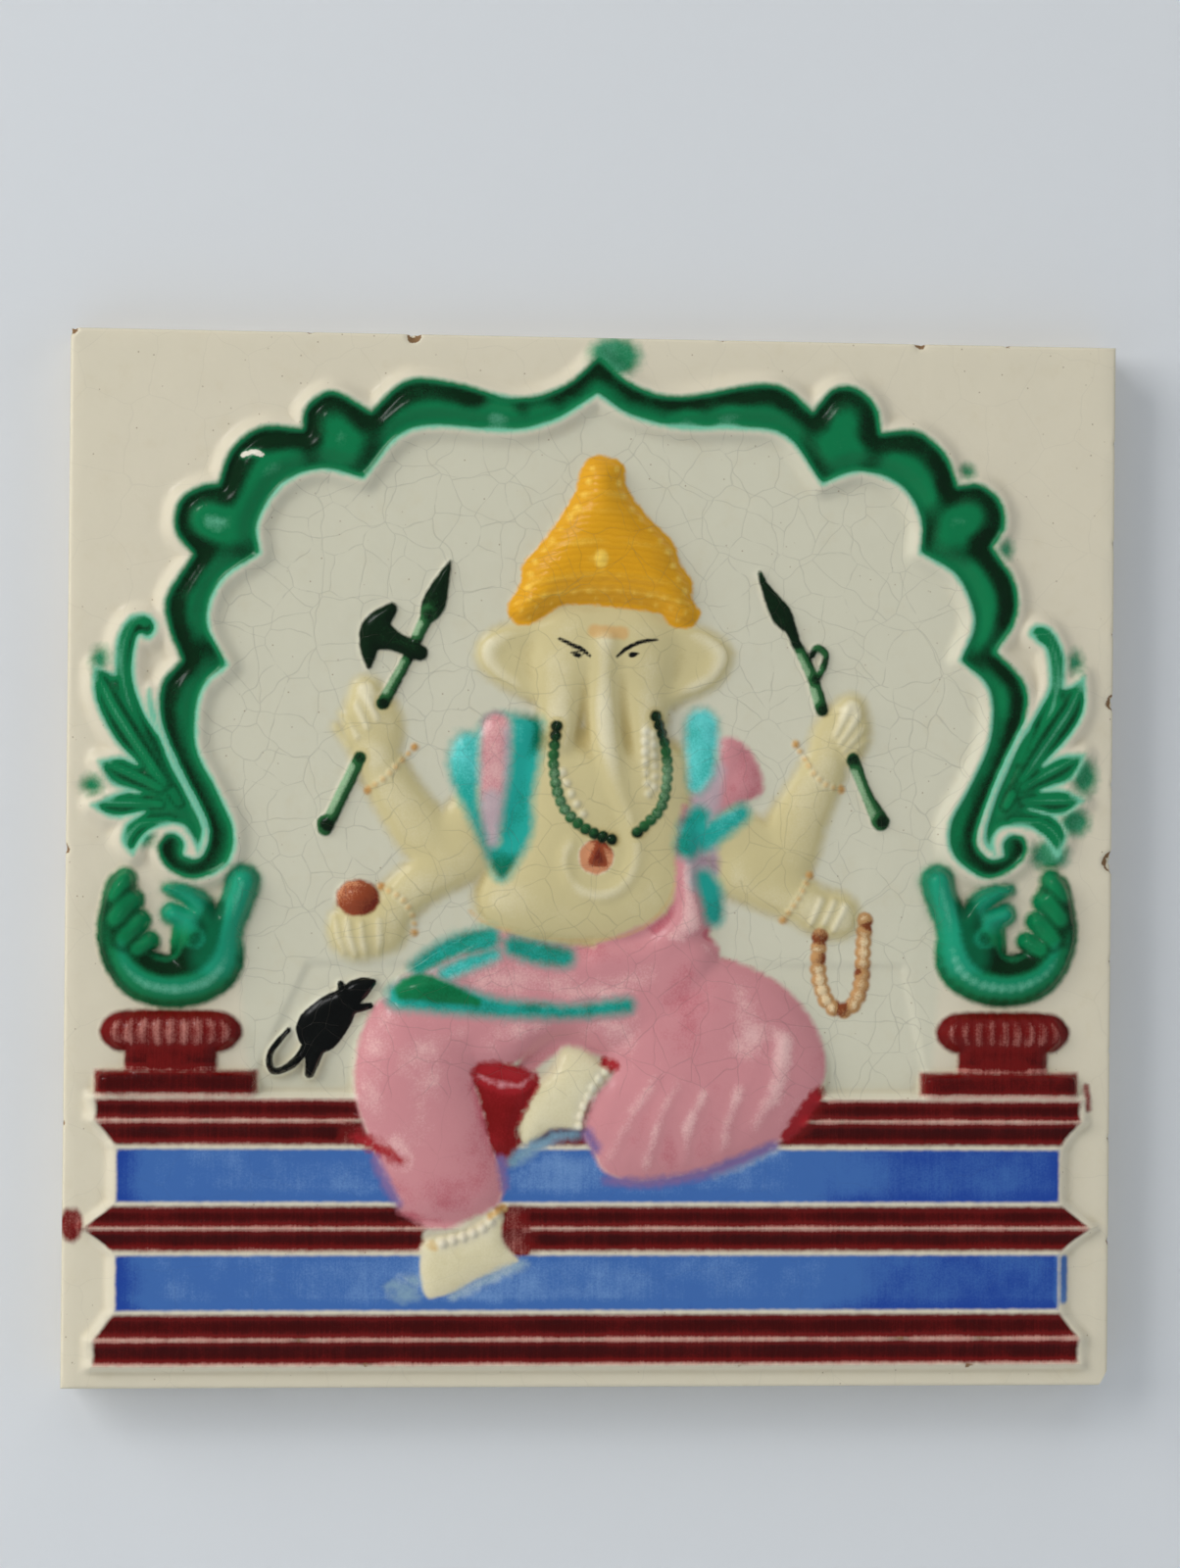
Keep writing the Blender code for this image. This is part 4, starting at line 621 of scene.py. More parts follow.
limbs = {
    "torso": (
        (-11.0, 16.0), (-12.0, 8.0), (-15.0, 1.0), (-17.0, -4.6), (-15.6, -8.8), (-10.0, -11.6),
        (-2.0, -12.4), (6.0, -12.0), (12.0, -9.4), (14.6, -4.0), (14.8, 3.0), (14.4, 10.0),
        (12.6, 16.0), (6.0, 19.0), (-5.0, 19.0),
    ),
    "arms": (
        ((-17.0, 6.5, 3.8), (-22.2, 2.4, 3.9), (-27.4, 7.4, 3.3), (-31.6, 14.6, 2.8)),
        ((-18.5, 0.8, 3.2), (-25.2, -3.0, 2.9), (-29.8, -7.4, 2.7)),
        ((18.0, 4.5, 4.0), (26.2, 0.8, 4.6), (29.8, 6.6, 3.6), (33.2, 13.6, 2.8)),
        ((21.5, -1.5, 3.4), (26.0, -3.6, 3.2), (30.6, -5.6, 2.8)),
    ),
    "hands": (
        ((-33.4, 24.2, 1.8), (-32.4, 19.4, 3.9), (-32.2, 16.4, 3.0)),
        ((-34.2, -10.0, 3.8), (-30.8, -9.6, 3.4)),
        ((37.2, 22.4, 1.8), (35.8, 18.6, 3.6), (34.2, 16.2, 2.6)),
        ((35.4, -7.6, 2.9), (32.0, -6.6, 2.8)),
    ),
    "fingers": (
        ((-37.6, 19.2, 0.8), (-35.8, 16.4, 0.7)), ((-36.6, 20.9, 0.8), (-34.7, 17.8, 0.7)),
        ((-35.0, 22.4, 0.8), (-33.2, 19.2, 0.7)), ((-33.2, 23.4, 0.8), (-31.8, 20.4, 0.7)),
        ((-37.7, -8.2, 0.8), (-37.3, -10.8, 0.8), (-36.2, -13.4, 0.7)),
        ((-35.8, -8.8, 0.8), (-35.5, -11.2, 0.8), (-34.6, -13.8, 0.7)),
        ((-33.8, -9.0, 0.8), (-33.6, -11.4, 0.8), (-33.0, -13.9, 0.7)),
        ((-31.4, -8.6, 0.9), (-31.2, -11.0, 0.9), (-31.2, -13.4, 0.7)),
        ((34.9, 18.8, 0.7), (36.7, 22.6, 0.8)), ((35.6, 17.6, 0.7), (38.3, 21.6, 0.8)),
        ((36.2, 16.5, 0.7), (39.3, 20.0, 0.8)), ((36.6, 15.4, 0.7), (39.5, 18.0, 0.8)),
        ((34.9, -5.4, 0.7), (33.0, -9.6, 0.6)), ((36.6, -6.2, 0.7), (34.8, -9.8, 0.6)),
        ((33.0, -5.2, 0.7), (31.4, -9.0, 0.6)),
    ),
    # the feet as drawn by the brush: folded over the knee, and hanging with its anklet
    "ankle": ((-23.0, -54.2, 1.5), (-20.0, -53.2, 1.9), (-15.4, -51.2, 1.6)),
    "feet": (
        ((-4.4, -27.0), (-1.2, -27.4), (0.6, -29.0), (2.0, -30.2), (0.7, -32.2), (-0.7, -34.8),
         (-1.5, -37.2), (-1.8, -38.8), (-4.2, -38.5), (-6.6, -38.9), (-8.2, -40.2),
         (-10.0, -40.9), (-10.7, -38.4), (-9.3, -35.0), (-8.0, -32.4), (-5.6, -30.2)),
        ((-24.8, -57.0), (-24.8, -60.2), (-23.8, -62.9), (-22.0, -62.8), (-19.2, -61.9),
         (-17.0, -60.5), (-13.6, -59.2), (-10.6, -57.8), (-12.0, -56.2), (-13.0, -54.2),
         (-13.2, -50.6), (-17.0, -52.8), (-21.0, -54.0), (-24.4, -55.0)),
    ),
}
clothes = {
    "shawls": (
        (
            (-20.9, 16.4), (-19.4, 18.4), (-17.4, 18.6), (-15.4, 21.0), (-11.6, 21.2), (-8.4, 20.6),
            (-7.9, 18.0), (-9.4, 9.0), (-9.4, 4.4), (-12.4, -1.6), (-14.3, -2.3), (-16.2, 2.0),
            (-19.9, 9.6), (-21.2, 13.2),
        ),
        (
            (13.6, 20.0), (15.4, 20.9), (17.3, 19.8), (17.7, 18.2), (20.4, 17.8), (23.0, 15.0),
            (24.4, 11.6), (23.6, 9.6), (19.4, 6.6), (17.2, 1.6), (18.7, -4.4), (17.6, -9.6),
            (15.6, -9.0), (13.0, -1.0), (11.8, 3.0), (12.8, 6.6), (13.6, 10.8),
        ),
    ),
    "sash": ((13.2, 4.0, 1.8), (13.2, -3.0, 2.0), (13.4, -8.6, 3.2), (8.2, -13.4, 3.0),
             (0.6, -14.6, 2.8)),
    "lap": (
        (-29.4, -19.4), (-25.4, -15.4), (-20.6, -12.4), (-15.2, -10.0), (-9.0, -11.6),
        (-1.0, -12.4), (6.0, -12.0), (12.0, -9.0), (18.0, -12.5), (16.0, -20.0), (8.0, -26.4),
        (2.4, -27.4), (-2.6, -25.2), (-7.0, -25.8), (-11.0, -28.8), (-17.0, -29.6), (-24.0, -26.0),
    ),
    "leg": (
        (-29.2, -19.6), (-33.0, -24.0), (-34.3, -30.0), (-33.8, -35.6), (-31.8, -41.0),
        (-29.8, -46.0), (-26.4, -50.4), (-22.0, -51.8), (-17.6, -51.2), (-13.8, -49.4),
        (-13.2, -46.0), (-14.4, -42.0), (-15.6, -37.0), (-17.2, -31.6), (-15.0, -27.6),
        (-10.0, -25.0), (-8.0, -22.4), (-16.0, -20.0),
    ),
    "knee": (
        (16.2, -13.9), (22.4, -15.2), (28.2, -18.6), (32.4, -24.0), (33.8, -29.6), (32.2, -34.0),
        (28.6, -39.2), (22.8, -42.2), (15.8, -44.8), (6.4, -46.2), (1.8, -44.6), (0.2, -41.8),
        (-1.2, -38.8), (0.0, -34.4), (3.0, -30.4), (2.0, -25.4), (5.2, -20.4), (9.6, -17.0),
    ),
    "trims": (
        ((-28.6, -17.6, 1.2), (-24.0, -14.4, 1.2), (-19.8, -12.2, 1.1), (-15.2, -11.0, 1.1),
         (-10.0, -12.4, 1.2), (-4.4, -13.6, 1.2)),
        ((-28.6, -18.6, 1.3), (-25.4, -18.2, 1.2), (-20.0, -19.4, 1.1), (-14.0, -21.0, 1.1),
         (-7.0, -21.6, 1.1), (0.0, -21.6, 1.1), (5.0, -20.4, 1.1)),
    ),
    "shawlFolds": (
        ((-17.8, 17.6), (-16.8, 9.0), (-14.8, 0.6)),
        ((-12.6, 20.6), (-12.4, 10.0), (-13.0, 2.6)),
        ((17.6, 18.4), (17.4, 12.0), (14.2, 5.0)),
        ((21.6, 15.6), (18.4, 9.0), (15.0, -1.0)),
    ),
    # pleats that stand up along the knee, the glaze thin along them
    "pleats": (
        ((8.8, -30.6, 0.7), (6.6, -34.6, 1.0), (3.8, -39.5, 1.0), (2.2, -42.8, 0.8)),
        ((12.2, -31.5, 0.7), (9.6, -36.5, 1.0), (8.4, -41.0, 1.0), (7.4, -44.4, 0.8)),
        ((16.0, -33.0, 0.8), (13.6, -38.5, 1.0), (13.4, -43.2, 0.8)),
        ((21.2, -32.5, 0.9), (19.2, -38.0, 1.0), (18.8, -41.6, 0.7)),
        ((27.6, -25.6, 1.6), (26.6, -32.0, 1.7), (23.4, -38.0, 1.2)),
    ),
    # where pink gathered, partly painted shade along the rims of the legs and knee and in the
    # creases; and where it lies thin, partly painted highlight down the left edges and across the
    # knee
    "deepPinkAndShade": (
        ((11.4, -33.4, 1.0), (10.9, -38.5, 1.5), (10.6, -43.2, 1.0)),
        ((18.4, -33.0, 1.0), (16.8, -38.0, 1.6), (16.2, -42.4, 1.0)),
        ((7.0, -37.4, 0.7), (5.8, -41.0, 0.9), (5.4, -44.0, 0.7)),
        ((9.4, -17.4, 1.6), (13.0, -19.0, 3.6), (13.2, -24.6, 3.0)),
        ((31.4, -21.6, 1.0), (33.0, -28.0, 1.6), (31.8, -33.0, 1.1)),
        ((-18.4, -33.0, 1.6), (-17.0, -39.0, 2.2), (-16.2, -46.0, 2.2)),
        ((-28.0, -47.0, 2.2), (-21.0, -48.4, 2.6), (-17.6, -47.0, 1.6)),
        ((-3.0, -13.6, 1.4), (2.0, -14.4, 1.9), (5.6, -14.4, 1.4)),
        ((-7.4, -26.6, 0.9), (-7.8, -29.2, 1.0)),
        ((-5.0, -25.0, 0.8), (0.6, -24.8, 1.1)),
        ((0.6, -33.6, 0.7), (-0.8, -37.6, 0.6)),
    ),
    "thinPinkAndHighlight": (
        ((-18.0, -17.0, 1.4), (-8.0, -17.4, 1.9), (3.0, -18.2, 1.9), (10.0, -14.8, 1.2)),
        ((-12.0, -24.0, 1.2), (-4.0, -23.6, 0.9), (4.6, -24.0, 1.6), (5.0, -28.4, 1.4)),
        ((-31.0, -24.0, 1.6), (-32.4, -30.0, 1.6), (-31.6, -36.0, 1.4)),
        ((-24.4, -26.0, 1.6), (-24.8, -33.0, 2.0)),
        ((20.6, -18.6, 1.6), (23.4, -23.4, 2.4), (21.0, -28.0, 1.6)),
    ),
    # pink beside the folded foot
    "footFill": ((-10.4, -31.0, 1.0), (-8.2, -27.8, 1.6), (-4.4, -25.6, 1.9), (0.6, -26.0, 1.9),
                 (3.2, -28.2, 1.2)),
    # strips of turquoise along the cloths: how far each gathered, then its line
    "turquoise": (
        (-0.7, ((15.4, 20.0, 1.9), (15.3, 17.4, 1.9), (15.2, 13.6, 1.5), (14.6, 11.4, 0.8))),
        (0.3, ((15.0, 6.6, 1.2), (14.2, 4.6, 1.8), (13.4, 2.6, 1.5))),
        (-0.3, ((15.8, 3.2, 1.2), (17.6, 4.8, 1.3), (21.2, 7.2, 0.9))),
        (0.2, ((15.8, -2.2, 0.8), (16.8, -4.2, 1.3), (17.4, -7.8, 0.9))),
        (-0.5, ((-21.6, -16.2, 0.7), (-18.0, -14.6, 0.7), (-14.6, -13.4, 0.5))),
        (0.5, ((-25.6, -15.6, 0.8), (-23.4, -14.0, 1.0), (-19.6, -12.2, 1.2), (-15.4, -11.2, 1.3))),
        (0.45, ((-11.8, -12.2, 1.0), (-8.4, -13.1, 1.2), (-4.4, -13.8, 1.0))),
        (0.4, ((-28.2, -19.6, 1.4), (-25.0, -19.0, 2.2), (-20.0, -20.0, 1.6), (-14.0, -21.1, 0.9),
               (-7.0, -21.5, 0.7), (-3.0, -21.6, 0.6), (4.6, -20.7, 0.7))),
    ),
    "greenTip": ((-27.6, -18.8, 1.3), (-25.2, -18.2, 1.9), (-22.0, -18.9, 1.6),
                 (-17.0, -20.3, 0.6)),
    "pinkStrips": (
        ((-26.6, -49.6, 1.7), (-22.0, -51.2, 1.9), (-17.6, -49.6, 1.7)),
        ((-14.6, 19.6, 2.2), (-14.8, 14.0, 2.2), (-15.2, 8.0, 1.7), (-15.0, 3.0, 0.9)),
        ((13.0, 8.0, 0.5), (12.6, 2.0, 1.0), (13.4, -3.0, 1.9), (14.0, -7.0, 3.2),
         (11.6, -11.0, 3.8), (2.0, -14.4, 3.0)),
    ),
    "pinkPuff": (
        (17.6, 17.4), (19.6, 18.4), (22.0, 17.0), (23.8, 14.2), (24.5, 11.4), (23.8, 9.8),
        (20.4, 8.6), (17.4, 6.6), (16.6, 8.6), (18.2, 12.6),
    ),
    "mauve": (
        ((17.4, 13.4, 1.4), (16.0, 8.6, 2.0), (15.0, 3.0, 2.0), (15.2, -2.6, 1.8)),
        ((16.4, 11.6, 1.2), (15.4, 9.0, 1.7), (16.4, 6.8, 1.0)),
        ((-12.9, 19.0, 0.6), (-12.7, 12.0, 0.7), (-13.3, 6.0, 0.7)),
        ((-15.0, 9.0, 1.4), (-15.2, 5.0, 1.4), (-14.8, 1.6, 0.7)),
        ((16.8, 3.4, 0.7), (17.0, 0.6, 0.9), (17.4, -1.4, 0.6)),
    ),
    # the red lining below the lap, and the bare line of the hem across it
    "drape": ((-17.2, -30.0), (-14.5, -29.2), (-11.5, -29.8), (-8.2, -31.5), (-9.8, -35.0),
              (-11.6, -38.5), (-11.2, -40.8), (-12.2, -43.6, 1), (-14.2, -41.5), (-15.2, -38.0),
              (-16.2, -34.0)),
    "hem": ((-16.8, -31.0, 0.15), (-13.2, -32.2, 0.4), (-10.6, -32.2, 0.35), (-9.0, -31.2, 0.2)),
    "crimson": (
        ((1.6, -29.0, 0.6), (2.8, -29.5, 0.9)),
        ((33.0, -33.2, 0.9), (31.8, -34.6, 1.1), (30.0, -37.4, 1.2), (28.2, -39.6, 0.8)),
    ),
    "speckle": ((-34.0, -39.8, 1.7), (-31.0, -41.4, 2.0), (-27.6, -43.2, 1.4)),
    "waistThread": ((-18.0, -7.3, 0.3), (-15.5, -9.0, 0.25), (-8.0, -11.0, 0.2), (0.0, -11.3, 0.2),
                    (6.0, -10.0, 0.2), (10.0, -6.5, 0.2), (11.5, -3.0, 0.2)),
}
held = {
    "heads": (
        ((-21.4, 43.3, 0.2), (-22.8, 39.8, 1.2), (-23.8, 36.9, 1.7), (-24.8, 34.8, 0.8)),
        ((-24.6, 35.6, 0.9), (-27.6, 28.9, 0.8), (-31.0, 22.6, 0.9)),
        ((-34.2, 14.8, 0.9), (-38.6, 5.4, 1.0), (-39.0, 5.2, 1.3)),
        ((-25.6, 30.0, 1.1), (-29.6, 31.8, 1.5), (-31.6, 32.6, 2.2)),
        ((-29.8, 36.4, 0.8), (-32.2, 33.6, 1.9), (-33.0, 30.6, 1.3), (-33.0, 28.0, 0.4)),
        ((23.7, 42.3, 0.3), (24.6, 40.0, 0.7), (26.8, 36.4, 1.5), (28.4, 33.9, 0.8),
         (29.2, 31.8, 0.7)),
        ((29.2, 32.0, 0.7), (31.4, 27.6, 0.8), (33.0, 22.4, 0.9)),
        ((31.4, 30.4, 0.5), (32.2, 31.5, 0.5), (33.5, 30.4, 0.5), (32.9, 28.2, 0.5),
         (32.0, 26.8, 0.5)),
        ((37.6, 15.2, 1.0), (39.6, 10.4, 0.8), (41.8, 6.2, 1.3)),
    ),
    # the shafts' lighter left side and darker right side are painted light and shade
    "shafts": (1, 2, 6, 7, 8),  # which of the strokes above are shafts, with a lighter left side
    # x, z, half widths and share of the rise
    "sweets": ((-34.3, -5.4, 3.1, 2.6, 0.62), (0.0, 0.8, 2.5, 2.5, 0.98)),
    "sweetMark": ((-1.3, -0.3, 1), (0.2, 2.7, 1), (1.7, -0.5, 1)),
    "mouse": (
        ((-39.6, -24.4, 2.6), (-37.8, -22.4, 2.3), (-36.0, -20.4, 1.5), (-34.0, -18.6, 1.2),
         (-32.0, -17.6, 0.4)),
        ((-40.0, -26.4, 1.6), (-41.0, -30.8, 0.7)),
        ((-35.6, -21.6, 0.8), (-32.4, -21.0, 0.5)),
        ((-36.4, -19.6, 0.5), (-36.6, -17.9, 0.5)),
        ((-41.0, -26.2, 0.7), (-43.4, -29.4, 0.6), (-46.2, -30.4, 0.5), (-46.6, -27.8, 0.45),
         (-44.0, -24.5, 0.35)),
    ),
    "necklaces": (
        ((-5.9, 19.6), (-6.3, 14.0), (-5.0, 8.2), (-1.6, 4.8), (2.2, 3.3)),
        ((8.5, 21.2), (10.0, 17.0), (10.2, 11.8), (9.1, 7.6), (5.9, 4.4)),
    ),
    # each row's half width of a bead, spacing in half widths and share of the beads' rise
    "sizes": {"necklaces": (0.72, 1.75, 1.0), "rosary": (1.05, 1.45, 1.0),
              "pearls": (0.78, 1.6, 1.3), "knots": (0.7, 1.9, 0.7), "bangles": (0.62, 1.8, 0.6)},
    "rosary": ((33.0, -10.6), (32.8, -15.2), (34.2, -20.2), (37.0, -21.3), (39.0, -18.6),
               (39.4, -12.8), (39.6, -8.2)),
    "rosaryDark": ((33.0, -11.0, 1.6), (33.0, -13.8, 1.4), (36.4, -21.2, 1.4), (39.8, -9.0, 1.2),
                   (38.9, -15.8, 0.7)),
    "pearls": (
        ((2.0, -30.3), (0.3, -32.3), (-0.9, -34.6), (-1.6, -36.6), (-1.9, -38.4)),
        ((-21.6, -55.0), (-18.3, -54.0), (-15.6, -52.7), (-13.7, -50.8)),
    ),
    "knots": (
        ((7.0, 19.0), (6.9, 15.0), (7.5, 10.0)), ((8.3, 18.6), (8.4, 14.6), (8.3, 11.0)),
        ((-5.0, 13.0), (-3.6, 9.6), (-2.0, 7.0)),
    ),
    "gilding": (
        ((-23.2, -55.4, 0.7), (-22.8, -55.8, 0.5)), ((-14.8, -51.2, 0.5), (-12.9, -50.0, 0.6)),
    ),
    "bangles": (
        ((-33.0, 10.2, 0.75), (-30.5, 12.0, 0.5), (-28.5, 14.0, 0.5), (-26.3, 16.4, 0.7)),
        ((-31.0, -3.8, 0.6), (-28.0, -5.5, 0.5), (-26.3, -8.0, 0.5), (-26.1, -10.4, 0.7)),
        ((29.2, 17.4, 0.9), (30.5, 15.3, 0.5), (32.0, 12.8, 0.5), (34.0, 11.3, 0.5),
         (35.9, 10.9, 0.7)),
        ((31.4, -1.7, 0.7), (29.7, -5.0, 0.5), (28.0, -7.5, 0.5), (27.6, -8.2, 0.7)),
    ),
}
# colour that strayed over the base: how far it gathered, then its line
strays = {
    "maroon": (
        (-0.3, ((-11.2, -50.6, 1.3), (-11.2, -53.6, 2.0), (-10.2, -56.0, 1.4))),
        (-0.5, ((72.6, -32.4, 0.5), (72.9, -35.6, 0.5))),
    ),
    "mist": (
        (0.4, ((-11.6, -43.3, 0.9), (-8.4, -41.2, 0.9), (-5.5, -39.8, 0.8), (-2.4, -39.4, 0.6))),
        (-0.1, ((-29.2, -61.4, 0.7), (-25.8, -60.6, 0.8))),
        (-0.1, ((-28.6, -63.2, 0.5), (-25.4, -62.6, 0.7))),
        (-0.4, ((-20.0, -62.8, 0.5), (-14.4, -60.0, 0.7), (-10.0, -58.2, 0.6))),
        (-0.7, ((17.6, -45.0, 0.4), (22.0, -43.5, 0.5), (26.4, -41.6, 0.4))),
    ),
    "violet": (
        (0.1, ((2.0, -46.0, 0.5), (8.0, -46.4, 0.7), (15.0, -45.3, 0.7), (20.4, -43.5, 0.8),
               (26.4, -40.9, 0.6))),
        (0.1, ((-31.4, -43.0, 0.6), (-29.6, -47.0, 0.7), (-28.0, -49.4, 0.5))),
        (0.3, ((-0.9, -39.2, 0.7), (0.4, -41.4, 0.7))),
        (0.2, ((-13.2, -43.0, 0.6), (-12.8, -47.0, 0.5))),
    ),
    "scar": (
        (0.0, ((-42.4, -69.0, 0.2), (-41.6, -69.1, 0.25))),
        (0.0, ((20.4, -73.0, 0.2), (22.0, -72.9, 0.2))),
        (0.0, ((-33.0, -72.6, 0.3), (-31.6, -72.7, 0.2))),
        (0.0, ((44.0, -68.9, 0.15), (45.4, -68.9, 0.25))),
        (0.0, ((55.6, -68.8, 0.15), (57.8, -68.9, 0.25))),
        (0.0, ((54.6, -73.0, 0.25), (56.2, -72.9, 0.15))),
    ),
    "worn": ((0.0, ((-51.4, 58.1, 0.3), (-50.0, 58.5, 0.4), (-48.7, 58.1, 0.3))),),
}
throne = ((-41.4, -14.8, 1), (45.4, -14.8, 1), (49.4, -34.2, 1), (-50.4, -34.2, 1))


def puffed(part, outline, full, reach=0.7):
    # a cushion within the outline, as high and as steep as the figure's table says
    edge = face.pillow(outline, figure["slopes"][part], reach)
    return swell(edge, figure[part] * full)


def crownHeight(full):
    inside = face.inside(crown["outline"])
    edge = face.pillow(crown["outline"], figure["slopes"]["crown"])
    shape = swell(edge, figure["crown"] * full)
    bow = 0.012 * (face.x - 0.8) ** 2
    rings = sum(np.exp(-(((face.z - ring + bow) / 0.6) ** 2)) for ring in crown["rings"])
    # small knobs along the brim and down both sides
    knobs = np.cos((face.x - 0.8) * 2.9) * np.cos((face.z + bow) * 2.4)
    knobs = knobs * ease(41.5, 39.0, face.z + bow)
    for line in crown["sides"]:
        knobs = np.maximum(knobs, ease(0.0, 0.9, beadRow(line, 0.95, 1.9)[0]))
    shape = shape + (figure["ringRise"] * rings
                     + figure["knobRise"] * knobs) * ease(0.05, 0.3, edge)
    jewel = face.oval(*crown["jewel"])
    wash("amber", inside + 0.3, 0.15)
    gather(-0.9, 0.9 * np.maximum(ease(0.1, 0.7, knobs), 0.6 * rings) * ease(-0.2, 0.6, inside))
    gather(-1.0, ease(-0.1, 0.5, jewel))
    return melt(shape, swell(jewel, figure["jewel"] * full), 0.15)


def headHeight(full):
    cheeks = [swell(face.limb(line), figure["face"] * full) for line in head["cheeks"]]
    cheeks = meltAll(cheeks, 1.0)
    ears = []
    for outline in head["ears"]:
        edge = face.pillow(outline, figure["slopes"]["ears"])
        dip = 1.0 - 0.3 * ease(0.3, 0.95, edge)
        inside = face.inside(outline)
        rim = 0.16 * np.exp(-(((inside - 0.9) / 0.6) ** 2))
        ears.append(swell(np.minimum(edge * 1.7, 1.0), figure["ears"] * full) * dip + rim)
        wash("straw", inside + 0.3)
    share, depth = face.stroke(head["trunk"])
    trunk = swell(share, figure["trunk"] * full)
    wash("straw", depth + 0.3)
    for line in head["cheeks"]:
        wash("straw", face.depth(line))
    for line in head["brows"] + head["eyes"]:
        wash("ink", face.depth(widened(line, 0.95)), -0.2, 0.1)
    wash("tan", face.depth(head["mark"]))
    return melt(melt(np.maximum(*ears), cheeks, 0.9), trunk, 1.2)


def armsHeight(full):
    shapes = []
    for part in ("arms", "hands"):
        for line in limbs[part]:
            share, depth = face.stroke(widened(line, more=0.5))
            shapes.append(swell(share, figure[part] * full))
            wash("straw", depth + 0.3)
    for line in limbs["fingers"]:
        share, depth = face.stroke(line)
        laySmall(figure["fingerRise"] * ease(-0.1, 1.0, share))
        wash("straw", depth)
    return meltAll(shapes, 1.0)


def creased(shape, folds):
    for fold in folds:
        groove = face.limb([(x, z, figure["foldHalf"]) for x, z in fold])
        shape = shape - figure["crease"] * ease(0.0, 1.0, groove) * ease(0.4, 1.2, shape)
    return shape


def clothesHeight(full):
    shapes = [puffed(part, clothes[part], full) for part in ("drape", "lap", "leg", "knee")]
    shapes.append(swell(face.limb(clothes["sash"]), figure["sash"] * full))
    for outline in clothes["shawls"]:
        shapes.append(creased(puffed("shawls", outline, full), clothes["shawlFolds"]))
    body = meltAll(shapes, 0.4)
    trims = [swell(face.limb(line), figure["trimRise"]) for line in clothes["trims"]]
    pleats = [figure["pleatRise"] * ease(0.0, 1.0, face.limb(line)) for line in clothes["pleats"]]
    raised = np.maximum.reduce(trims + pleats)
    return body + np.clip(raised, 0.0, None) * ease(0.2, 0.8, body)


def paintClothes():
    for part in ("lap", "leg", "knee"):
        wash("pink", face.inside(clothes[part]) + 0.2)
    wash("turquoise", face.inside(clothes["shawls"][0]) + 0.2)
    for line in clothes["pinkStrips"]:
        wash("pink", face.depth(line))
    wash("pink", face.depth(clothes["footFill"]), 0.1)
    # painted shade and painted highlight on the cloths, mixed with where the pink gathered and ran
    # thin
    pinks = (("deepPinkAndShade", 0.65, 2.2), ("thinPinkAndHighlight", -0.7, 1.5), ("pleats", -0.65, 0.5))
    for part, amount, reach in pinks:
        lines = [face.limb(widened(line, 1.2)) for line in clothes[part]]
        share = face.blurred(ease(0.0, 0.6, np.maximum.reduce(lines)), reach)
        gather(amount, share * ease(-0.3, 0.3, washes["pink"]))
    puff = face.inside(clothes["pinkPuff"])
    wash("pink", puff, ease(16.0, 20.5, face.x - 0.25 * (face.z - 12.0)) - 0.6)
    for line in clothes["mauve"]:
        wash("mauve", face.depth(line))
    shawl = face.inside(clothes["shawls"][0])
    gather(0.9, ease(-0.5, 0.5, shawl) * ease(4.0, -0.5, face.z))
    upper = ease(6.0, 15.0, face.z) * ease(-12.0, -18.0, face.x)
    gather(-0.8, 0.8 * ease(-1.0, 0.5, shawl) * upper)
    gather(-0.5, 0.8 * ease(-0.6, 0.6, face.depth(clothes["pinkStrips"][1])))
    for amount, line in clothes["turquoise"]:
        depth = face.depth(line) + 0.5
        wash("turquoise", depth)
        gather(amount, ease(-0.6, 0.2, depth))
    depth = face.depth(clothes["greenTip"])
    wash("leek", depth)
    gather(0.3, ease(-0.3, 0.3, depth))
    wash("crimson", face.inside(clothes["drape"]) + 0.4, 0.7 - 0.9 * ease(-32.0, -31.0, face.z))
    keepOff("crimson", face.depth(clothes["hem"]) - 0.1)
    wash("pink", face.depth(clothes["hem"]) + 0.9, 0.2, 0.0)
    for line in clothes["crimson"]:
        wash("crimson", face.depth(line), 0.1)
    wash("crimson", 0.5 * face.depth(clothes["speckle"]) - 0.5, -0.3)
    wash("tan", face.depth(clothes["waistThread"]) - 0.2, -0.9, 0.1)


def threaded(row, line, full):
    # one row of beads, laid with the small relief
    halfWidth, spacing, rise = held["sizes"][row]
    share, depth = beadRow(line, halfWidth, spacing)
    laySmall(swell(share, rise * figure["beads"] * full))
    return share, depth


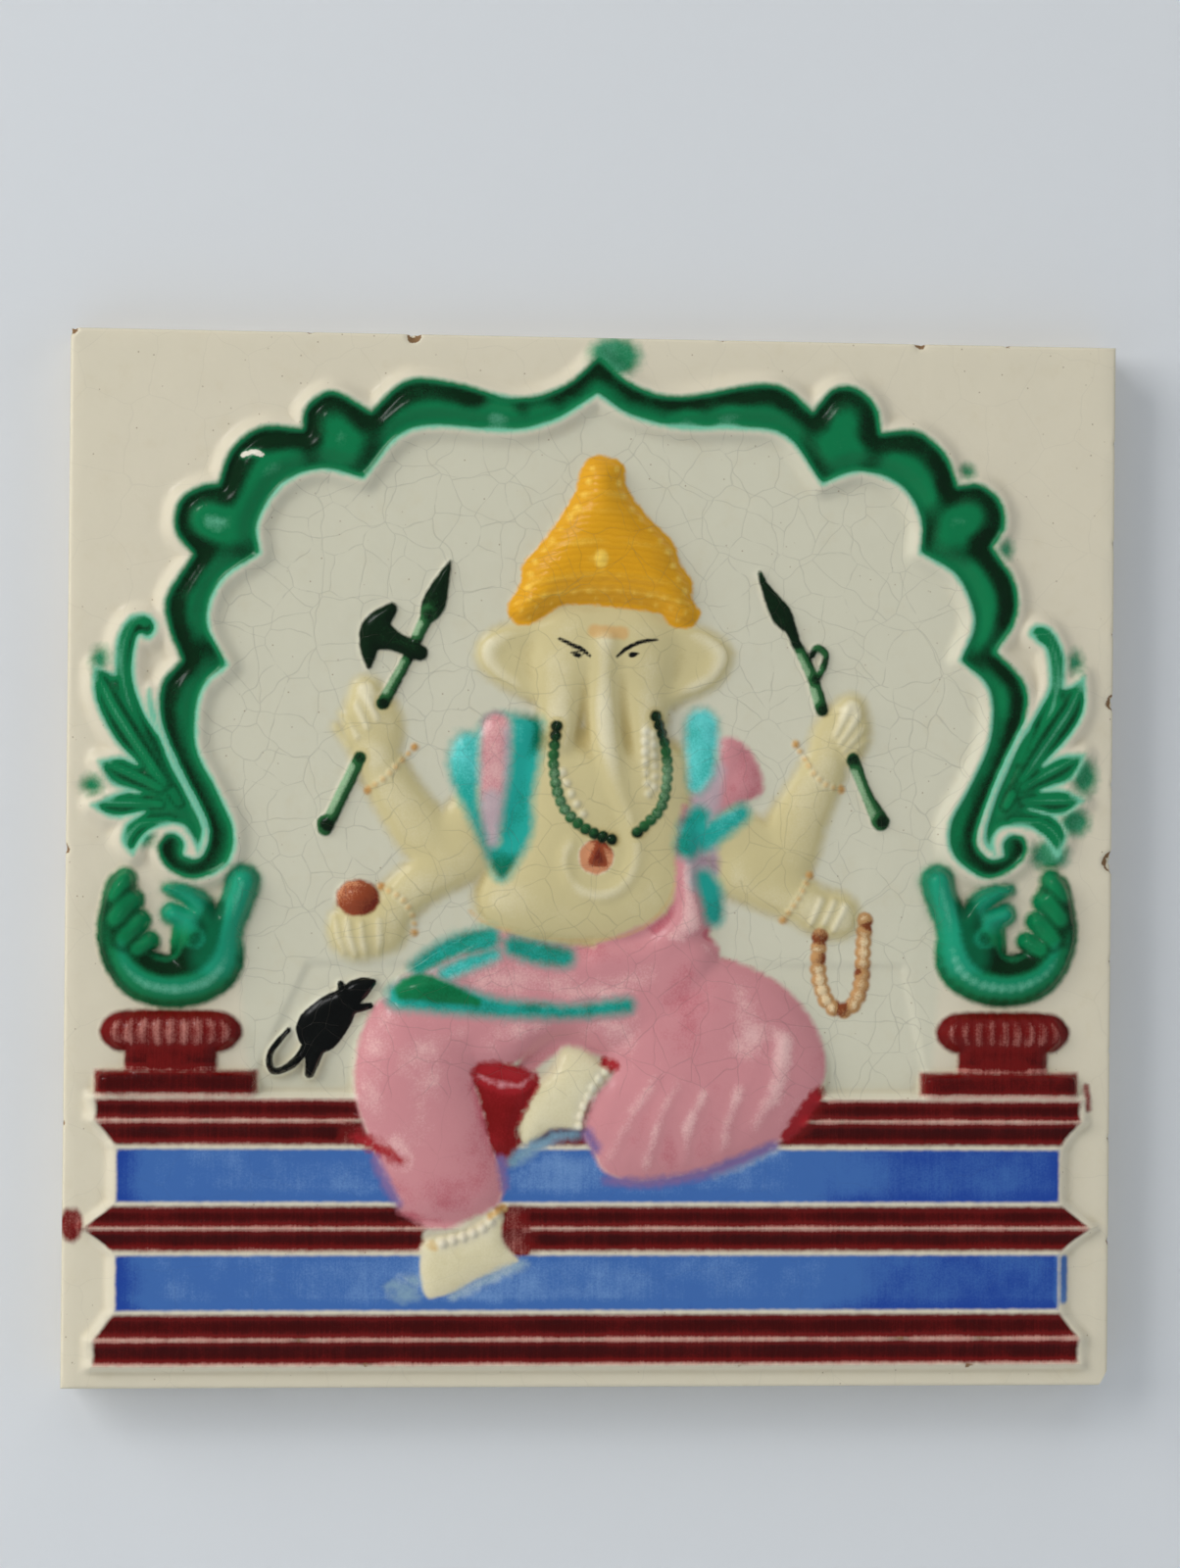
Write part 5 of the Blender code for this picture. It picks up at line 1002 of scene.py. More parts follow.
def heldHeight(full):
    found = face.blank()
    for number, line in enumerate(held["heads"]):
        share, depth = face.stroke(line)
        found = np.maximum(found, swell(share, figure["held"] * full))
        if number in held["shafts"]:
            ordered = sorted(line, key=lambda point: point[1])
            middle = np.interp(face.z, [z for x, z, r in ordered], [x for x, z, r in ordered])
            ends = [1.4 - np.hypot(face.x - x, face.z - z) for x, z, r in (line[0], line[-1])]
            ends = np.maximum(*ends)
            # painted light down each shaft's left side and painted shade down its right
            lit = 1.7 * ease(-0.3, 0.6, face.x - middle) - 1.1
            wash("olive", depth, np.maximum(lit, 1.7 * ease(0.0, 0.6, ends) - 0.8), 0.4)
        else:
            wash("olive", depth, 1.0, 0.4)
    for number, line in enumerate(held["mouse"]):
        share, depth = face.stroke(widened(line, 1.0 if number else 1.3))  # a fuller body
        found = np.maximum(found, swell(share, figure["held"] * full))
        wash("ink", depth, 0.5, 0.4)
    for line in held["necklaces"]:
        share, depth = threaded("necklaces", line, full)
        middle = ease(3.4, 7.0, face.z) * ease(19.0, 14.0, face.z)
        wash("olive", depth + 0.1, 0.7 - 1.2 * middle + 0.3 * ease(0.4, 0.0, share), 0.3)
    share, depth = threaded("rosary", held["rosary"], full)
    dark = np.maximum.reduce([face.oval(x, z, r, r) for x, z, r in held["rosaryDark"]])
    gathered = 1.6 * ease(0.0, 0.6, dark) + 1.2 * ease(0.5, 0.0, share) - 0.8
    wash("rosary", depth + 0.15, gathered, 0.3)
    for line in held["pearls"]:
        keepOff("straw", threaded("pearls", line, full)[1])
    for line in held["knots"]:
        keepOff("straw", threaded("knots", line, full)[1] - 0.7)
    for line in held["gilding"]:
        wash("tan", face.depth(line) - 0.1, 0.9, 0.2)
    for line in held["bangles"]:
        share, depth = threaded("bangles", [(x, z) for x, z, r in line], full)
        ends = np.maximum(*[face.oval(x, z, 1.4, 1.4) for x, z, r in (line[0], line[-1])])
        wash("tan", np.maximum(depth - 0.35, ends * 1.4 - 0.9), ease(0.0, 0.6, ends) - 0.3, 0.2)
    return found


def figureHeight():
    full = figure["rise"]
    belly = puffed("torso", limbs["torso"], full, 1.2)
    wash("straw", face.inside(limbs["torso"]) + 0.8)
    feet = []
    for outline in limbs["feet"]:
        feet.append(puffed("feet", outline, full))
        wash("straw", face.inside(outline) + 0.1)
    body = meltAll([belly, armsHeight(full)] + feet, 0.6)
    body = melt(body, clothesHeight(full), 0.35)
    body = melt(body, headHeight(full), 0.5)
    body = face.blurred(np.maximum(body, -0.8), 0.5)
    body = melt(body, crownHeight(full), 0.2)
    for x, z, halfWidth, halfHeight, rise in held["sweets"]:
        share = face.oval(x, z, halfWidth, halfHeight)
        body = melt(body, swell(share, rise * full), 0.2)
        # the left sweet is painted lighter to its upper left and darker to its lower right: painted
        # light and shade
        side = 0.5 * (face.x - x) / halfWidth - 0.5 * (face.z - z) / halfHeight
        marked = 1.6 * ease(-0.3, 0.3, face.inside(held["sweetMark"])) - 0.9
        wash("rust", share * halfHeight, side + 0.1 if x < -10 else marked, 0.2)
    return np.maximum(body, heldHeight(full))


figureHeights = figureHeight()
bareFeet = np.maximum(*[face.inside(outline) for outline in limbs["feet"]])
# what hangs over the base, where its glazes give way
seated = np.maximum.reduce([face.inside(clothes[part]) for part in ("lap", "leg", "knee", "drape")]
                           + [bareFeet, face.depth(limbs["ankle"])])
np.copyto(pools, np.nan, where=seated > 0.2)
paintClothes()
gather(-0.65, ease(-0.4, 0.4, bareFeet))
for name in ("maroon", "blue"):
    keepOff(name, seated)
keepOff("turquoise", face.depth(clothes["pinkStrips"][1]))
keepOff("pink", bareFeet + 0.2)
for name, lines in strays.items():
    for amount, line in lines:
        depth = face.depth(line)
        wash(name, depth)
        gather(amount, ease(-0.6, 0.2, depth))


print("joining the relief")
joining = {
    "throneDrop": 0.35,
    # fillets at the foot of the arch and of the figure, and how far the glaze rounds every edge
    "fillet": 0.3, "figureFillet": 0.4, "rounding": 0.25, "smallRounding": 0.15,
    # over what reach a crest and a hollow are judged, and the height that counts as full
    "crest": (0.7, 0.25), "hollow": (2.2, 0.5),
    "spare": 0.02,  # how far the relief stays below the solid's own front
}
ground = -joining["throneDrop"] * ease(-0.4, 0.5, face.inside(throne))
raised = np.maximum.reduce([archHeight, creaturesHeight, bulbHeights])
raised = melt(face.blank(0.0), raised, joining["fillet"])
seat = base["bandRise"] * ease(-base["top"] - figure["seatRun"], -base["top"], -face.z)
covered = ease(-0.1, 0.0, figureHeights)
steps = baseHeights + (seat - baseHeights) * covered * ease(0.0, 0.5, baseHeights)
# where the seat already lifts the figure, the figure itself stands out less
lowered = figureHeights * (1.0 - figure["seatShare"] * seat / figure["rise"])
body = np.where(figureHeights > 0.0, lowered, figureHeights) + seat * covered
around = np.maximum(np.maximum(raised, steps), 0.0)
around = np.where(around > 0.05, around, ground)
relief = face.blurred(melt(around, body, joining["figureFillet"]), joining["rounding"])
relief = relief + face.blurred(small, joining["smallRounding"])
slab = {"half": 76.2, "thickness": 7.8, "arris": 0.6, "chipWidth": 1.3, "chipHeight": 2.4,
        "sideRing": 3.0, "backBevel": 0.3}
tallest = -cadBox[0][1] / mm - slab["thickness"] - joining["spare"]
relief = np.minimum(relief, tallest)
# elsewhere the glazes ran off the crests and gathered in the hollows
crest, hollow = ((face.blurred(relief, reach) - relief) / height
                 for reach, height in (joining["crest"], joining["hollow"]))
pools = np.where(np.isnan(pools), 0.4 * crest + 0.6 * hollow, pools)
pools = face.blurred(np.clip(pools, -1.5, 1.5), 0.25)


print("building the tile")
# small losses along the edges: x, z and radius
chips = (
    (-76.0, 76.0, 1.0), (-27.0, 75.9, 1.2), (47.1, 76.0, 0.9), (76.2, 24.0, 1.3), (76.3, 0.6, 1.8),
    (-76.3, 1.3, 0.9), (-42.0, 76.3, 0.6), (76.2, -40.0, 0.6), (-76.2, -38.0, 0.5),
    (76.2, 62.0, 0.5), (76.3, 47.5, 0.6), (76.2, 34.0, 0.5), (76.3, 12.0, 0.6), (76.2, -14.0, 0.6),
    (76.3, -27.0, 0.5), (76.2, -55.0, 0.6), (18.0, 76.2, 0.5), (60.0, 76.2, 0.5),
    (-58.0, -76.2, 0.5),
)
chipping = {"upTo": 3.5, "depth": 0.55, "inwards": 0.35, "rim": 74.0}
back = {"margin": 2.0, "border": 13.0, "grooves": 6, "grooveWidth": 7.0, "grooveDepth": 1.2,
        "grooveEnd": 0.5, "grooveSide": 0.4}
net = {"squares": 95, "halvings": 3, "steep": 0.043, "nearEdge": 0.5, "nearChip": 0.8, "busy": 0.12}
softEdged = ("maroon", "blue", "straw", "sea", "mauve", "mist")  # these need no finer mesh
chipDepth = np.maximum.reduce([radius - np.hypot(face.x - x, face.z - z) for x, z, radius in chips])


def busyArea():
    # where the face needs a finer mesh: at slopes and at the edges of the glazes
    slopeZ, slopeX = np.gradient(relief, face.step)
    busy = np.hypot(slopeX, slopeZ) > net["steep"]
    for name, depth in washes.items():
        if name not in softEdged:
            busy |= np.abs(depth) < net["nearEdge"]
    busy |= chipDepth > -net["nearChip"]
    return face.blurred(busy.astype(float), 0.5)


def faceCentres(sheet):
    return np.array([f.calc_center_median()[:2] for f in sheet.faces])


def isUpright(edge):
    first, second = (v.co for v in edge.verts)
    return abs(first.y - second.y) > abs(first.x - second.x)


def only(kind, made):
    return [item for item in made if isinstance(item, kind)]


def addObject(name, data):
    made = bpy.data.objects.new(name, data)
    bpy.context.scene.collection.objects.link(made)
    return made


def frontSheet():
    sheet = bmesh.new()
    inner = slab["half"] - slab["arris"]
    bmesh.ops.create_grid(sheet, x_segments=net["squares"], y_segments=net["squares"], size=inner)
    busy = busyArea()
    onBase = face.blank(0.0)
    onBase[(face.z < base["top"] - 0.5) & (np.abs(face.x) < 66.0) & (seated < -1.5)] = 1.0
    fine = face.blurred((small > 0.02).astype(float), 0.2)
    for level in range(1, net["halvings"] + 1):
        centres = faceCentres(sheet)
        area = fine if level == net["halvings"] else busy  # only the small forms take the last
        wanted = face.sample(area, centres[:, 0], centres[:, 1]) > net["busy"]
        banded = face.sample(onBase, centres[:, 0], centres[:, 1]) > 0.5
        chosen = set()
        for f, cut, flat in zip(sheet.faces, wanted, banded):
            if cut:
                # along the base only the upright edges are cut, because nothing changes along x
                chosen.update(e for e in f.edges if not flat or isUpright(e))
        cuts = [e for e in sheet.edges if e in chosen]
        bmesh.ops.subdivide_edges(sheet, edges=cuts, cuts=1, use_grid_fill=True)
    places = np.array([v.co[:2] for v in sheet.verts])
    heights = face.sample(relief, places[:, 0], places[:, 1])
    for v, (x, z), height in zip(sheet.verts, places, heights):
        v.co = (x, -slab["thickness"] - height, z)
    return sheet


def addSides(solid):
    # a rounded arris and straight sides down to the back
    border = [e for e in solid.edges if e.is_boundary]
    inner = slab["half"] - slab["arris"]
    arris = slab["arris"]
    rings = [(inner + arris * math.sin(a), arris * (1 - math.cos(a)) - slab["thickness"])
             for a in np.radians((30, 60, 90))]
    rings += [(slab["half"], -slab["sideRing"]), (slab["half"], -slab["backBevel"]),
              (slab["half"] - slab["backBevel"], 0.0)]
    for half, depth in rings:
        made = bmesh.ops.extrude_edge_only(solid, edges=border)["geom"]
        for v in only(bmesh.types.BMVert, made):
            v.co.x *= half / inner
            v.co.z *= half / inner
            v.co.y = depth
        border = only(bmesh.types.BMEdge, made)
        inner = half


def addBack(solid):
    # the flat back with its level keying grooves
    room = slab["half"] - back["border"]
    land = (2 * room - back["grooves"] * back["grooveWidth"]) / (back["grooves"] - 1)
    rows = 2 * back["grooves"] + 1
    made = bmesh.ops.create_grid(solid, x_segments=3, y_segments=rows, size=1.0)["verts"]
    outer = slab["half"] - back["margin"]
    levelsX = [-outer, -room, room, outer]
    levelsZ = [-outer]
    for number in range(back["grooves"]):
        start = -room + number * (back["grooveWidth"] + land)
        levelsZ += [start, start + back["grooveWidth"]]
    levelsZ.append(outer)
    for v in made:
        column = round((v.co.x + 1.0) / 2.0 * 3)
        row = round((v.co.y + 1.0) / 2.0 * rows)
        v.co = (levelsX[column], 0.0, levelsZ[row])
    middles = [0.5 * (low + high) for low, high in zip(levelsZ[1::2], levelsZ[2::2])]
    grooves = []
    for f in dict.fromkeys(f for v in made for f in v.link_faces):
        centre = f.calc_center_median()
        if abs(centre.x) < room / 2 and min(abs(centre.z - middle) for middle in middles) < 0.1:
            grooves.append(f)
    rim = [e for e in solid.edges if e.is_boundary and all(abs(v.co.y) < 1e-6 for v in e.verts)]
    bmesh.ops.triangle_fill(solid, use_beauty=True, use_dissolve=False, edges=rim)
    for groove in grooves:
        pushed = bmesh.ops.extrude_discrete_faces(solid, faces=[groove])["faces"][0]
        for v in pushed.verts:
            v.co.y = -back["grooveDepth"]
            v.co.x *= (room - back["grooveEnd"]) / room
            below = v.co.z < pushed.calc_center_median().z
            v.co.z += back["grooveSide"] if below else -back["grooveSide"]


def dentEdges(solid):
    for x, z, radius in chips:
        for v in solid.verts:
            apart = math.hypot(v.co.x - x, v.co.z - z)
            if v.co.y > -chipping["upTo"] or apart >= radius:
                continue
            wobble = 0.75 + 0.25 * math.sin(7.0 * v.co.x + 5.0 * v.co.z)
            deep = radius * (1.0 - (apart / radius) ** 2) * wobble * chipping["depth"]
            v.co.y += deep
            for axis in (0, 2):
                if abs(v.co[axis]) > chipping["rim"]:
                    v.co[axis] -= chipping["inwards"] * deep * np.sign(v.co[axis])


def cutCorner(solid):
    # the broken lower right corner
    low = (slab["half"] - slab["chipWidth"], 0.0, -slab["half"])
    outward = (slab["chipHeight"], 0.0, -slab["chipWidth"])
    everything = solid.verts[:] + solid.edges[:] + solid.faces[:]
    bmesh.ops.bisect_plane(solid, geom=everything, plane_co=low, plane_no=outward, clear_outer=True)
    bmesh.ops.holes_fill(solid, edges=[e for e in solid.edges if e.is_boundary])


def buildTile():
    solid = frontSheet()
    addSides(solid)
    addBack(solid)
    dentEdges(solid)
    cutCorner(solid)
    bmesh.ops.recalc_face_normals(solid, faces=solid.faces)
    for v in solid.verts:
        v.co *= mm
    mesh = bpy.data.meshes.new("painted_tile")
    solid.to_mesh(mesh)
    solid.free()
    mesh.shade_smooth()
    mesh.set_sharp_from_angle(angle=math.radians(50))
    return addObject("painted_tile", mesh)


def carryWashes(tile):
    # each glaze's depth goes onto the mesh as a named attribute
    mesh = tile.data
    places = np.empty(3 * len(mesh.vertices))
    mesh.vertices.foreach_get("co", places)
    x, z = places[0::3] / mm, places[2::3] / mm
    others = {"pool": pools, "crest": crest, "niche": niche, "chip": chipDepth}
    for name, values in {**washes, **others}.items():
        layer = mesh.attributes.new(name, "FLOAT", "POINT")
        layer.data.foreach_set("value", face.sample(np.clip(values, -2.5, 2.5), x, z))


class Link:
    # a socket that takes part in Python sums
    def __init__(self, tree, socket):
        self.tree, self.socket = tree, socket

    def __add__(self, other): return sumUp("ADD", self, other)
    def __radd__(self, other): return sumUp("ADD", other, self)
    def __sub__(self, other): return sumUp("SUBTRACT", self, other)
    def __rsub__(self, other): return sumUp("SUBTRACT", other, self)
    def __mul__(self, other): return sumUp("MULTIPLY", self, other)
    def __rmul__(self, other): return sumUp("MULTIPLY", other, self)
    def __neg__(self): return sumUp("MULTIPLY", self, -1.0)

    def other(self, output):
        return Link(self.tree, self.socket.node.outputs[output])


def plug(tree, slot, value):
    if isinstance(value, Link):
        tree.links.new(value.socket, slot)
    else:
        slot.default_value = value


def sumUp(operation, *values):
    tree = next(value.tree for value in values if isinstance(value, Link))
    node = tree.nodes.new("ShaderNodeMath")
    node.operation = operation
    for slot, value in zip(node.inputs, values):
        plug(tree, slot, value)
    return Link(tree, node.outputs[0])


class Finish:
    # a material and the few kinds of node that it is made from
    def __init__(self, name):
        self.material = bpy.data.materials.new(name)
        self.material.use_nodes = True
        self.tree = self.material.node_tree
        self.shader = self.tree.nodes["Principled BSDF"]

    def node(self, kind, settings=None, values=None, output=0):
        node = self.tree.nodes.new(kind)
        for name, value in (settings or {}).items():
            setattr(node, name, value)
        for name, value in (values or {}).items():
            plug(self.tree, node.inputs[name], value)
        return Link(self.tree, node.outputs[output])

    def attribute(self, name):
        return self.node("ShaderNodeAttribute", {"attribute_name": name}, output="Fac")

    def step(self, value, low, high, kind="SMOOTHSTEP"):
        return self.node("ShaderNodeMapRange", {"interpolation_type": kind},
                         {"Value": value, "From Min": low, "From Max": high})

    def mix(self, share, first, second):
        values = {0: share, 6: first, 7: second}  # its sockets for colours
        return self.node("ShaderNodeMix", {"data_type": "RGBA"}, values, output=2)

    def noise(self, place, scale, detail=2.0, roughness=0.5, output=0):
        values = {"Vector": place, "Scale": scale, "Detail": detail, "Roughness": roughness}
        return self.node("ShaderNodeTexNoise", None, values, output)

    def bump(self, height, distance):
        return self.node("ShaderNodeBump", None, {"Height": height, "Distance": distance})

    def millimetres(self):
        # the place on the tile, then its x, y and z
        place = self.node("ShaderNodeTexCoord", output="Object")
        place = self.node("ShaderNodeVectorMath", {"operation": "SCALE"},
                          {0: place, "Scale": 1.0 / mm})
        x = self.node("ShaderNodeSeparateXYZ", None, {0: place})
        return place, x, x.other(1), x.other(2)

    def put(self, **values):
        for name, value in values.items():
            plug(self.tree, self.shader.inputs[name.replace("_", " ")], value)


exposure = 0.72  # how bright a white surface looks under the studio lights


def tone(red, green, blue):
    # a colour as it looks on the lit tile, 0 to 255, turned into the surface's own colour
    lit = [value / 255 for value in (red, green, blue)]
    flat = [value / 12.92 if value <= 0.04045 else ((value + 0.055) / 1.055) ** 2.4
            for value in lit]
    return (*[min(value / exposure, 1.0) for value in flat], 1.0)


# Each glaze: its colour where thin, as a rule and where deep; from and to which depth it covers;
# how far its edge wanders and how mottled it is; in the order they lie on the tile.
glazes = {
    "straw": {"tones": (tone(208, 200, 170), tone(187, 175, 130), tone(164, 147, 96)),
              "edge": (-1.0, 1.2), "wander": 0.8, "mottle": 0.5},
    "maroon": {"tones": (tone(172, 112, 102), tone(98, 14, 12), tone(58, 4, 3)),
               "edge": (-0.4, 0.45), "wander": 0.4, "mottle": 0.9, "brushed": 0.3},
    "blue": {"tones": (tone(104, 138, 182), tone(58, 97, 158), tone(30, 62, 140)),
             "edge": (-0.35, 0.35), "wander": 0.3, "mottle": 0.9, "brushed": 0.15},
    "green": {"tones": (tone(104, 176, 146), tone(10, 108, 64), tone(3, 34, 12)),
              "edge": (-0.75, 0.25), "wander": 0.5, "mottle": 0.5},
    "sea": {"tones": (tone(116, 184, 160), tone(24, 136, 104), tone(4, 86, 54)),
            "edge": (-1.2, 1.6), "wander": 0.6, "mottle": 0.5},
    "pink": {"tones": (tone(212, 172, 168), tone(187, 126, 130), tone(172, 90, 100)),
             "edge": (-0.6, 0.6), "wander": 0.8, "mottle": 1.1},
    "mauve": {"tones": (tone(190, 174, 172), tone(168, 146, 152), tone(146, 122, 132)),
              "edge": (-0.9, 0.9), "wander": 0.8, "mottle": 0.6},
    "turquoise": {"tones": (tone(92, 192, 188), tone(30, 146, 134), tone(2, 98, 74)),
                  "edge": (-1.2, 1.1), "wander": 0.9, "mottle": 1.0},
    "leek": {"tones": (tone(80, 160, 120), tone(10, 110, 66), tone(2, 72, 34)),
             "edge": (-0.5, 0.5), "wander": 0.6, "mottle": 0.8},
    "amber": {"tones": (tone(224, 184, 78), tone(200, 144, 26), tone(178, 118, 12)),
              "edge": (-0.35, 0.35), "wander": 0.9, "mottle": 0.7},
    "rosary": {"tones": (tone(206, 184, 146), tone(172, 130, 84), tone(116, 58, 30)),
               "edge": (-0.3, 0.25), "wander": 0.5, "mottle": 1.6},
    "crimson": {"tones": (tone(176, 80, 78), tone(144, 28, 34), tone(110, 12, 12)),
                "edge": (-0.5, 0.5), "wander": 1.2, "mottle": 0.9},
    "rust": {"tones": (tone(188, 128, 92), tone(134, 62, 36), tone(100, 34, 22)),
             "edge": (-0.35, 0.3), "wander": 0.6, "mottle": 1.8},
    "tan": {"tones": (tone(200, 182, 138), tone(190, 156, 102), tone(172, 124, 66)),
            "edge": (-0.5, 0.35), "wander": 0.5, "mottle": 0.8},
    "olive": {"tones": (tone(128, 160, 124), tone(34, 84, 44), tone(8, 28, 11)),
              "edge": (-0.3, 0.2), "wander": 0.35, "mottle": 0.8},
    "ink": {"tones": (tone(44, 48, 42), tone(10, 12, 10), tone(4, 5, 4)),
            "edge": (-0.18, 0.15), "wander": 0.3, "mottle": 1.2},
    "mist": {"tones": (tone(176, 188, 196), tone(118, 146, 166), tone(78, 120, 134)),
             "edge": (-0.9, 0.9), "wander": 1.4, "mottle": 0.8},
    "violet": {"tones": (tone(160, 148, 176), tone(116, 96, 142), tone(92, 66, 112)),
               "edge": (-0.8, 0.8), "wander": 1.0, "mottle": 0.8},
    "scar": {"tones": (tone(168, 140, 106), tone(124, 92, 62), tone(92, 62, 42)),
             "edge": (-0.15, 0.15), "wander": 0.8, "mottle": 1.2},
    "worn": {"tones": (tone(214, 210, 200), tone(206, 200, 186), tone(190, 182, 166)),
             "edge": (-0.15, 0.1), "wander": 0.8, "mottle": 0.8},
}
cream = {"margin": tone(199, 191, 170), "niche": tone(191, 188, 168), "stain": tone(178, 163, 126),
         "speck": tone(126, 104, 74), "chip": tone(120, 92, 62)}
# scale per millimetre, detail and roughness
noises = {"wander": (0.9, 3.0), "mottle": (0.3, 4.0, 0.6), "grain": (3.2, 3.0, 0.6),
          "blotch": (0.11, 3.0), "clayMottle": (0.05, 5.0, 0.6), "clayGrain": (1.6, 4.0, 0.7),
          "clayRuns": (0.25, 3.0)}
# how far across the cells are and how wide their lines
crackle = {"small": (5.6, 0.075), "wide": (9.5, 0.07), "bend": (2.6, 2.6, 0.0),
           "dark": (0.05, 0.04, 0.03, 1.0)}


def paintedGlaze():
    finish = Finish("painted_glaze")
    place, x, _, z = finish.millimetres()
    flat = finish.node("ShaderNodeCombineXYZ", None, {0: x, 1: z})
    wander, mottle, grain, blotch = (finish.noise(place, *noises[name]) - 0.5
                                     for name in ("wander", "mottle", "grain", "blotch"))
    pool = finish.attribute("pool")
    crestHere = finish.attribute("crest")

    # cream ground, greener and greyer in the niche, stained in the hollows
    inNiche = finish.step(finish.attribute("niche"), -0.5, 1.5)
    colour = finish.mix(inNiche, cream["margin"], cream["niche"])
    stained = finish.step(crestHere + 0.4 * mottle, 0.15, 1.6) * 0.3
    colour = finish.mix(stained, colour, cream["stain"])
    colour = finish.mix(finish.step(mottle, 0.0, 0.35) * 0.15, colour, cream["stain"])
    specks = finish.node("ShaderNodeTexVoronoi", {"voronoi_dimensions": "2D"},
                         {"Vector": flat, "Scale": 0.35})
    fewer = finish.step(finish.noise(place, 0.8, 1.0), 0.56, 0.66)
    colour = finish.mix(finish.step(specks, 0.06, 0.02) * fewer * 0.6, colour, cream["speck"])

    upright = finish.node("ShaderNodeCombineXYZ", None, {0: x * 2.4, 1: z * 0.12})
    streaks = finish.noise(upright, 1.0, 2.0) - 0.5  # upright brush marks
    for name, glaze in glazes.items():
        thin, rule, deep = glaze["tones"]
        pooled = 0.5 + 0.5 * pool + glaze["mottle"] * (0.45 * mottle + 0.35 * grain + 0.5 * blotch)
        if "brushed" in glaze:
            pooled = pooled + glaze["brushed"] * streaks
        body = finish.mix(finish.step(pooled, 0.0, 0.45), thin, rule)
        body = finish.mix(finish.step(pooled, 0.55, 1.0), body, deep)
        low, high = glaze["edge"]
        cover = finish.step(finish.attribute(name) + glaze["wander"] * wander, low, high)
        colour = finish.mix(cover, colour, body)

    # crackle: wide cells on the margin and small ones within the arch
    warp = finish.noise(flat, 0.22, 1.0, output=1)
    bent = finish.node("ShaderNodeVectorMath", {"operation": "MULTIPLY_ADD"},
                       {0: warp, 1: crackle["bend"], 2: flat})
    cracks = []
    for cell, width in (crackle["small"], crackle["wide"]):
        edge = finish.node("ShaderNodeTexVoronoi",
                           {"voronoi_dimensions": "2D", "feature": "DISTANCE_TO_EDGE"},
                           {"Vector": bent, "Scale": 1.0 / cell})
        cracks.append(finish.step(edge * cell, width * 1.5, width * 0.2))
    broken = finish.step(mottle + 0.3 * wander, -0.2, 0.05)
    crack = cracks[0] * inNiche * broken * 0.8 + cracks[1] * (0.3 + 0.7 * inNiche) * 0.7
    crack = finish.step(crack, 0.0, 1.0, "LINEAR")
    darker = finish.mix(0.45, colour, crackle["dark"])
    colour = finish.mix(crack * 0.55, colour, darker)
    chipped = finish.step(finish.attribute("chip") + 0.9 * wander + 0.5 * grain, 0.1, 0.3)
    colour = finish.mix(chipped, colour, cream["chip"])

    # fine cords wound round the crown
    bow = (x - 0.8) * (x - 0.8) * 0.012
    turns = (z + bow) * 6.6 + wander * 5.0 + blotch * 8.0
    wave = finish.node("ShaderNodeMath", {"operation": "SINE"}, {0: turns})
    cords = wave * finish.step(finish.attribute("amber"), 0.2, 1.0)
    colour = finish.mix(finish.step(cords, 0.0, -1.0) * 0.18, colour, glazes["amber"]["tones"][2])

    rough = 0.2 + 0.12 * mottle + 0.12 * crack + 0.5 * chipped
    height = 0.5 * finish.noise(place, 0.16, 2.0) + 0.06 * finish.noise(place, 1.3, 2.0)
    onMaroon = finish.step(finish.attribute("maroon"), 0.0, 0.4)
    height = height - 0.05 * crack + 0.05 * cords + 0.16 * streaks * onMaroon
    finish.put(Base_Color=colour, Roughness=rough, Normal=finish.bump(height, 0.0004), IOR=1.47,
               Coat_Weight=0.1, Coat_Roughness=0.1)
    return finish.material


def bareClay():
    # the back and the sides, with glaze that ran over the front edges
    finish = Finish("bare_clay")
    place, x, y, z = finish.millimetres()
    depth = -y
    mottle, grain, runs = (finish.noise(place, *noises[name]) - 0.5
                           for name in ("clayMottle", "clayGrain", "clayRuns"))
    level = finish.node("ShaderNodeCombineXYZ", None, {0: x * 0.05, 1: z * 0.5})
    scraped = finish.noise(level, 1.0, 4.0) - 0.5  # level marks where the press was drawn off
    body = finish.step(mottle + 0.6 * grain + 0.25 * scraped, -0.35, 0.35)
    colour = finish.mix(body, tone(190, 176, 152), tone(211, 200, 179))
    colour = finish.mix(finish.step(grain, 0.02, 0.3) * 0.3, colour, tone(160, 145, 120))
    # darker wherever the clay lies more than a millimetre in front of the back: in the grooves and
    # down the sides
    clayDarkerAwayFromBack = finish.step(depth, 0.2, 1.1) * 0.3  # in the grooves
    colour = finish.mix(clayDarkerAwayFromBack, colour, tone(158, 142, 118))
    pores = finish.node("ShaderNodeTexVoronoi", None, {"Vector": place, "Scale": 0.4})
    pore = finish.step(pores, 0.16, 0.06) * finish.step(runs, -0.06, 0.06)
    colour = finish.mix(pore * 0.7, colour, tone(112, 94, 72))
    glazed = finish.step(depth + 3.0 * runs, 5.6, 6.3)
    colour = finish.mix(glazed, colour, cream["margin"])
    rough = 0.85 - 0.6 * glazed + 0.1 * grain
    height = grain * 0.5 - pore * 0.9 + scraped * 0.4 + mottle * 0.5 + glazed * 0.8
    finish.put(Base_Color=colour, Roughness=rough, Normal=finish.bump(height, 0.0002))
    return finish.material


tile = buildTile()
carryWashes(tile)
tile.data.materials.append(paintedGlaze())
tile.data.materials.append(bareClay())
for polygon in tile.data.polygons:
    if polygon.center.y > -(slab["thickness"] - slab["arris"]) * mm:
        polygon.material_index = 1
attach(tile, "root")
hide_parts("embossed_tile")
print("tile triangles:", sum(len(p.vertices) - 2 for p in tile.data.polygons))


print("setting the stage")
stage = {"wall": 0.0008, "top": 0.9, "turn": -0.22, "radius": 0.12, "front": -1.2, "half": 1.1,
         "tones": ((0.755, 0.78, 0.805, 1.0), (0.795, 0.82, 0.845, 1.0))}
# the camera as in the photograph; its turns are in degrees
view = {"lens": 80.0, "sensor": 36.0, "place": (-0.04037, -0.51199, 0.00867),
        "turns": (90.30, -0.546, -4.488)}


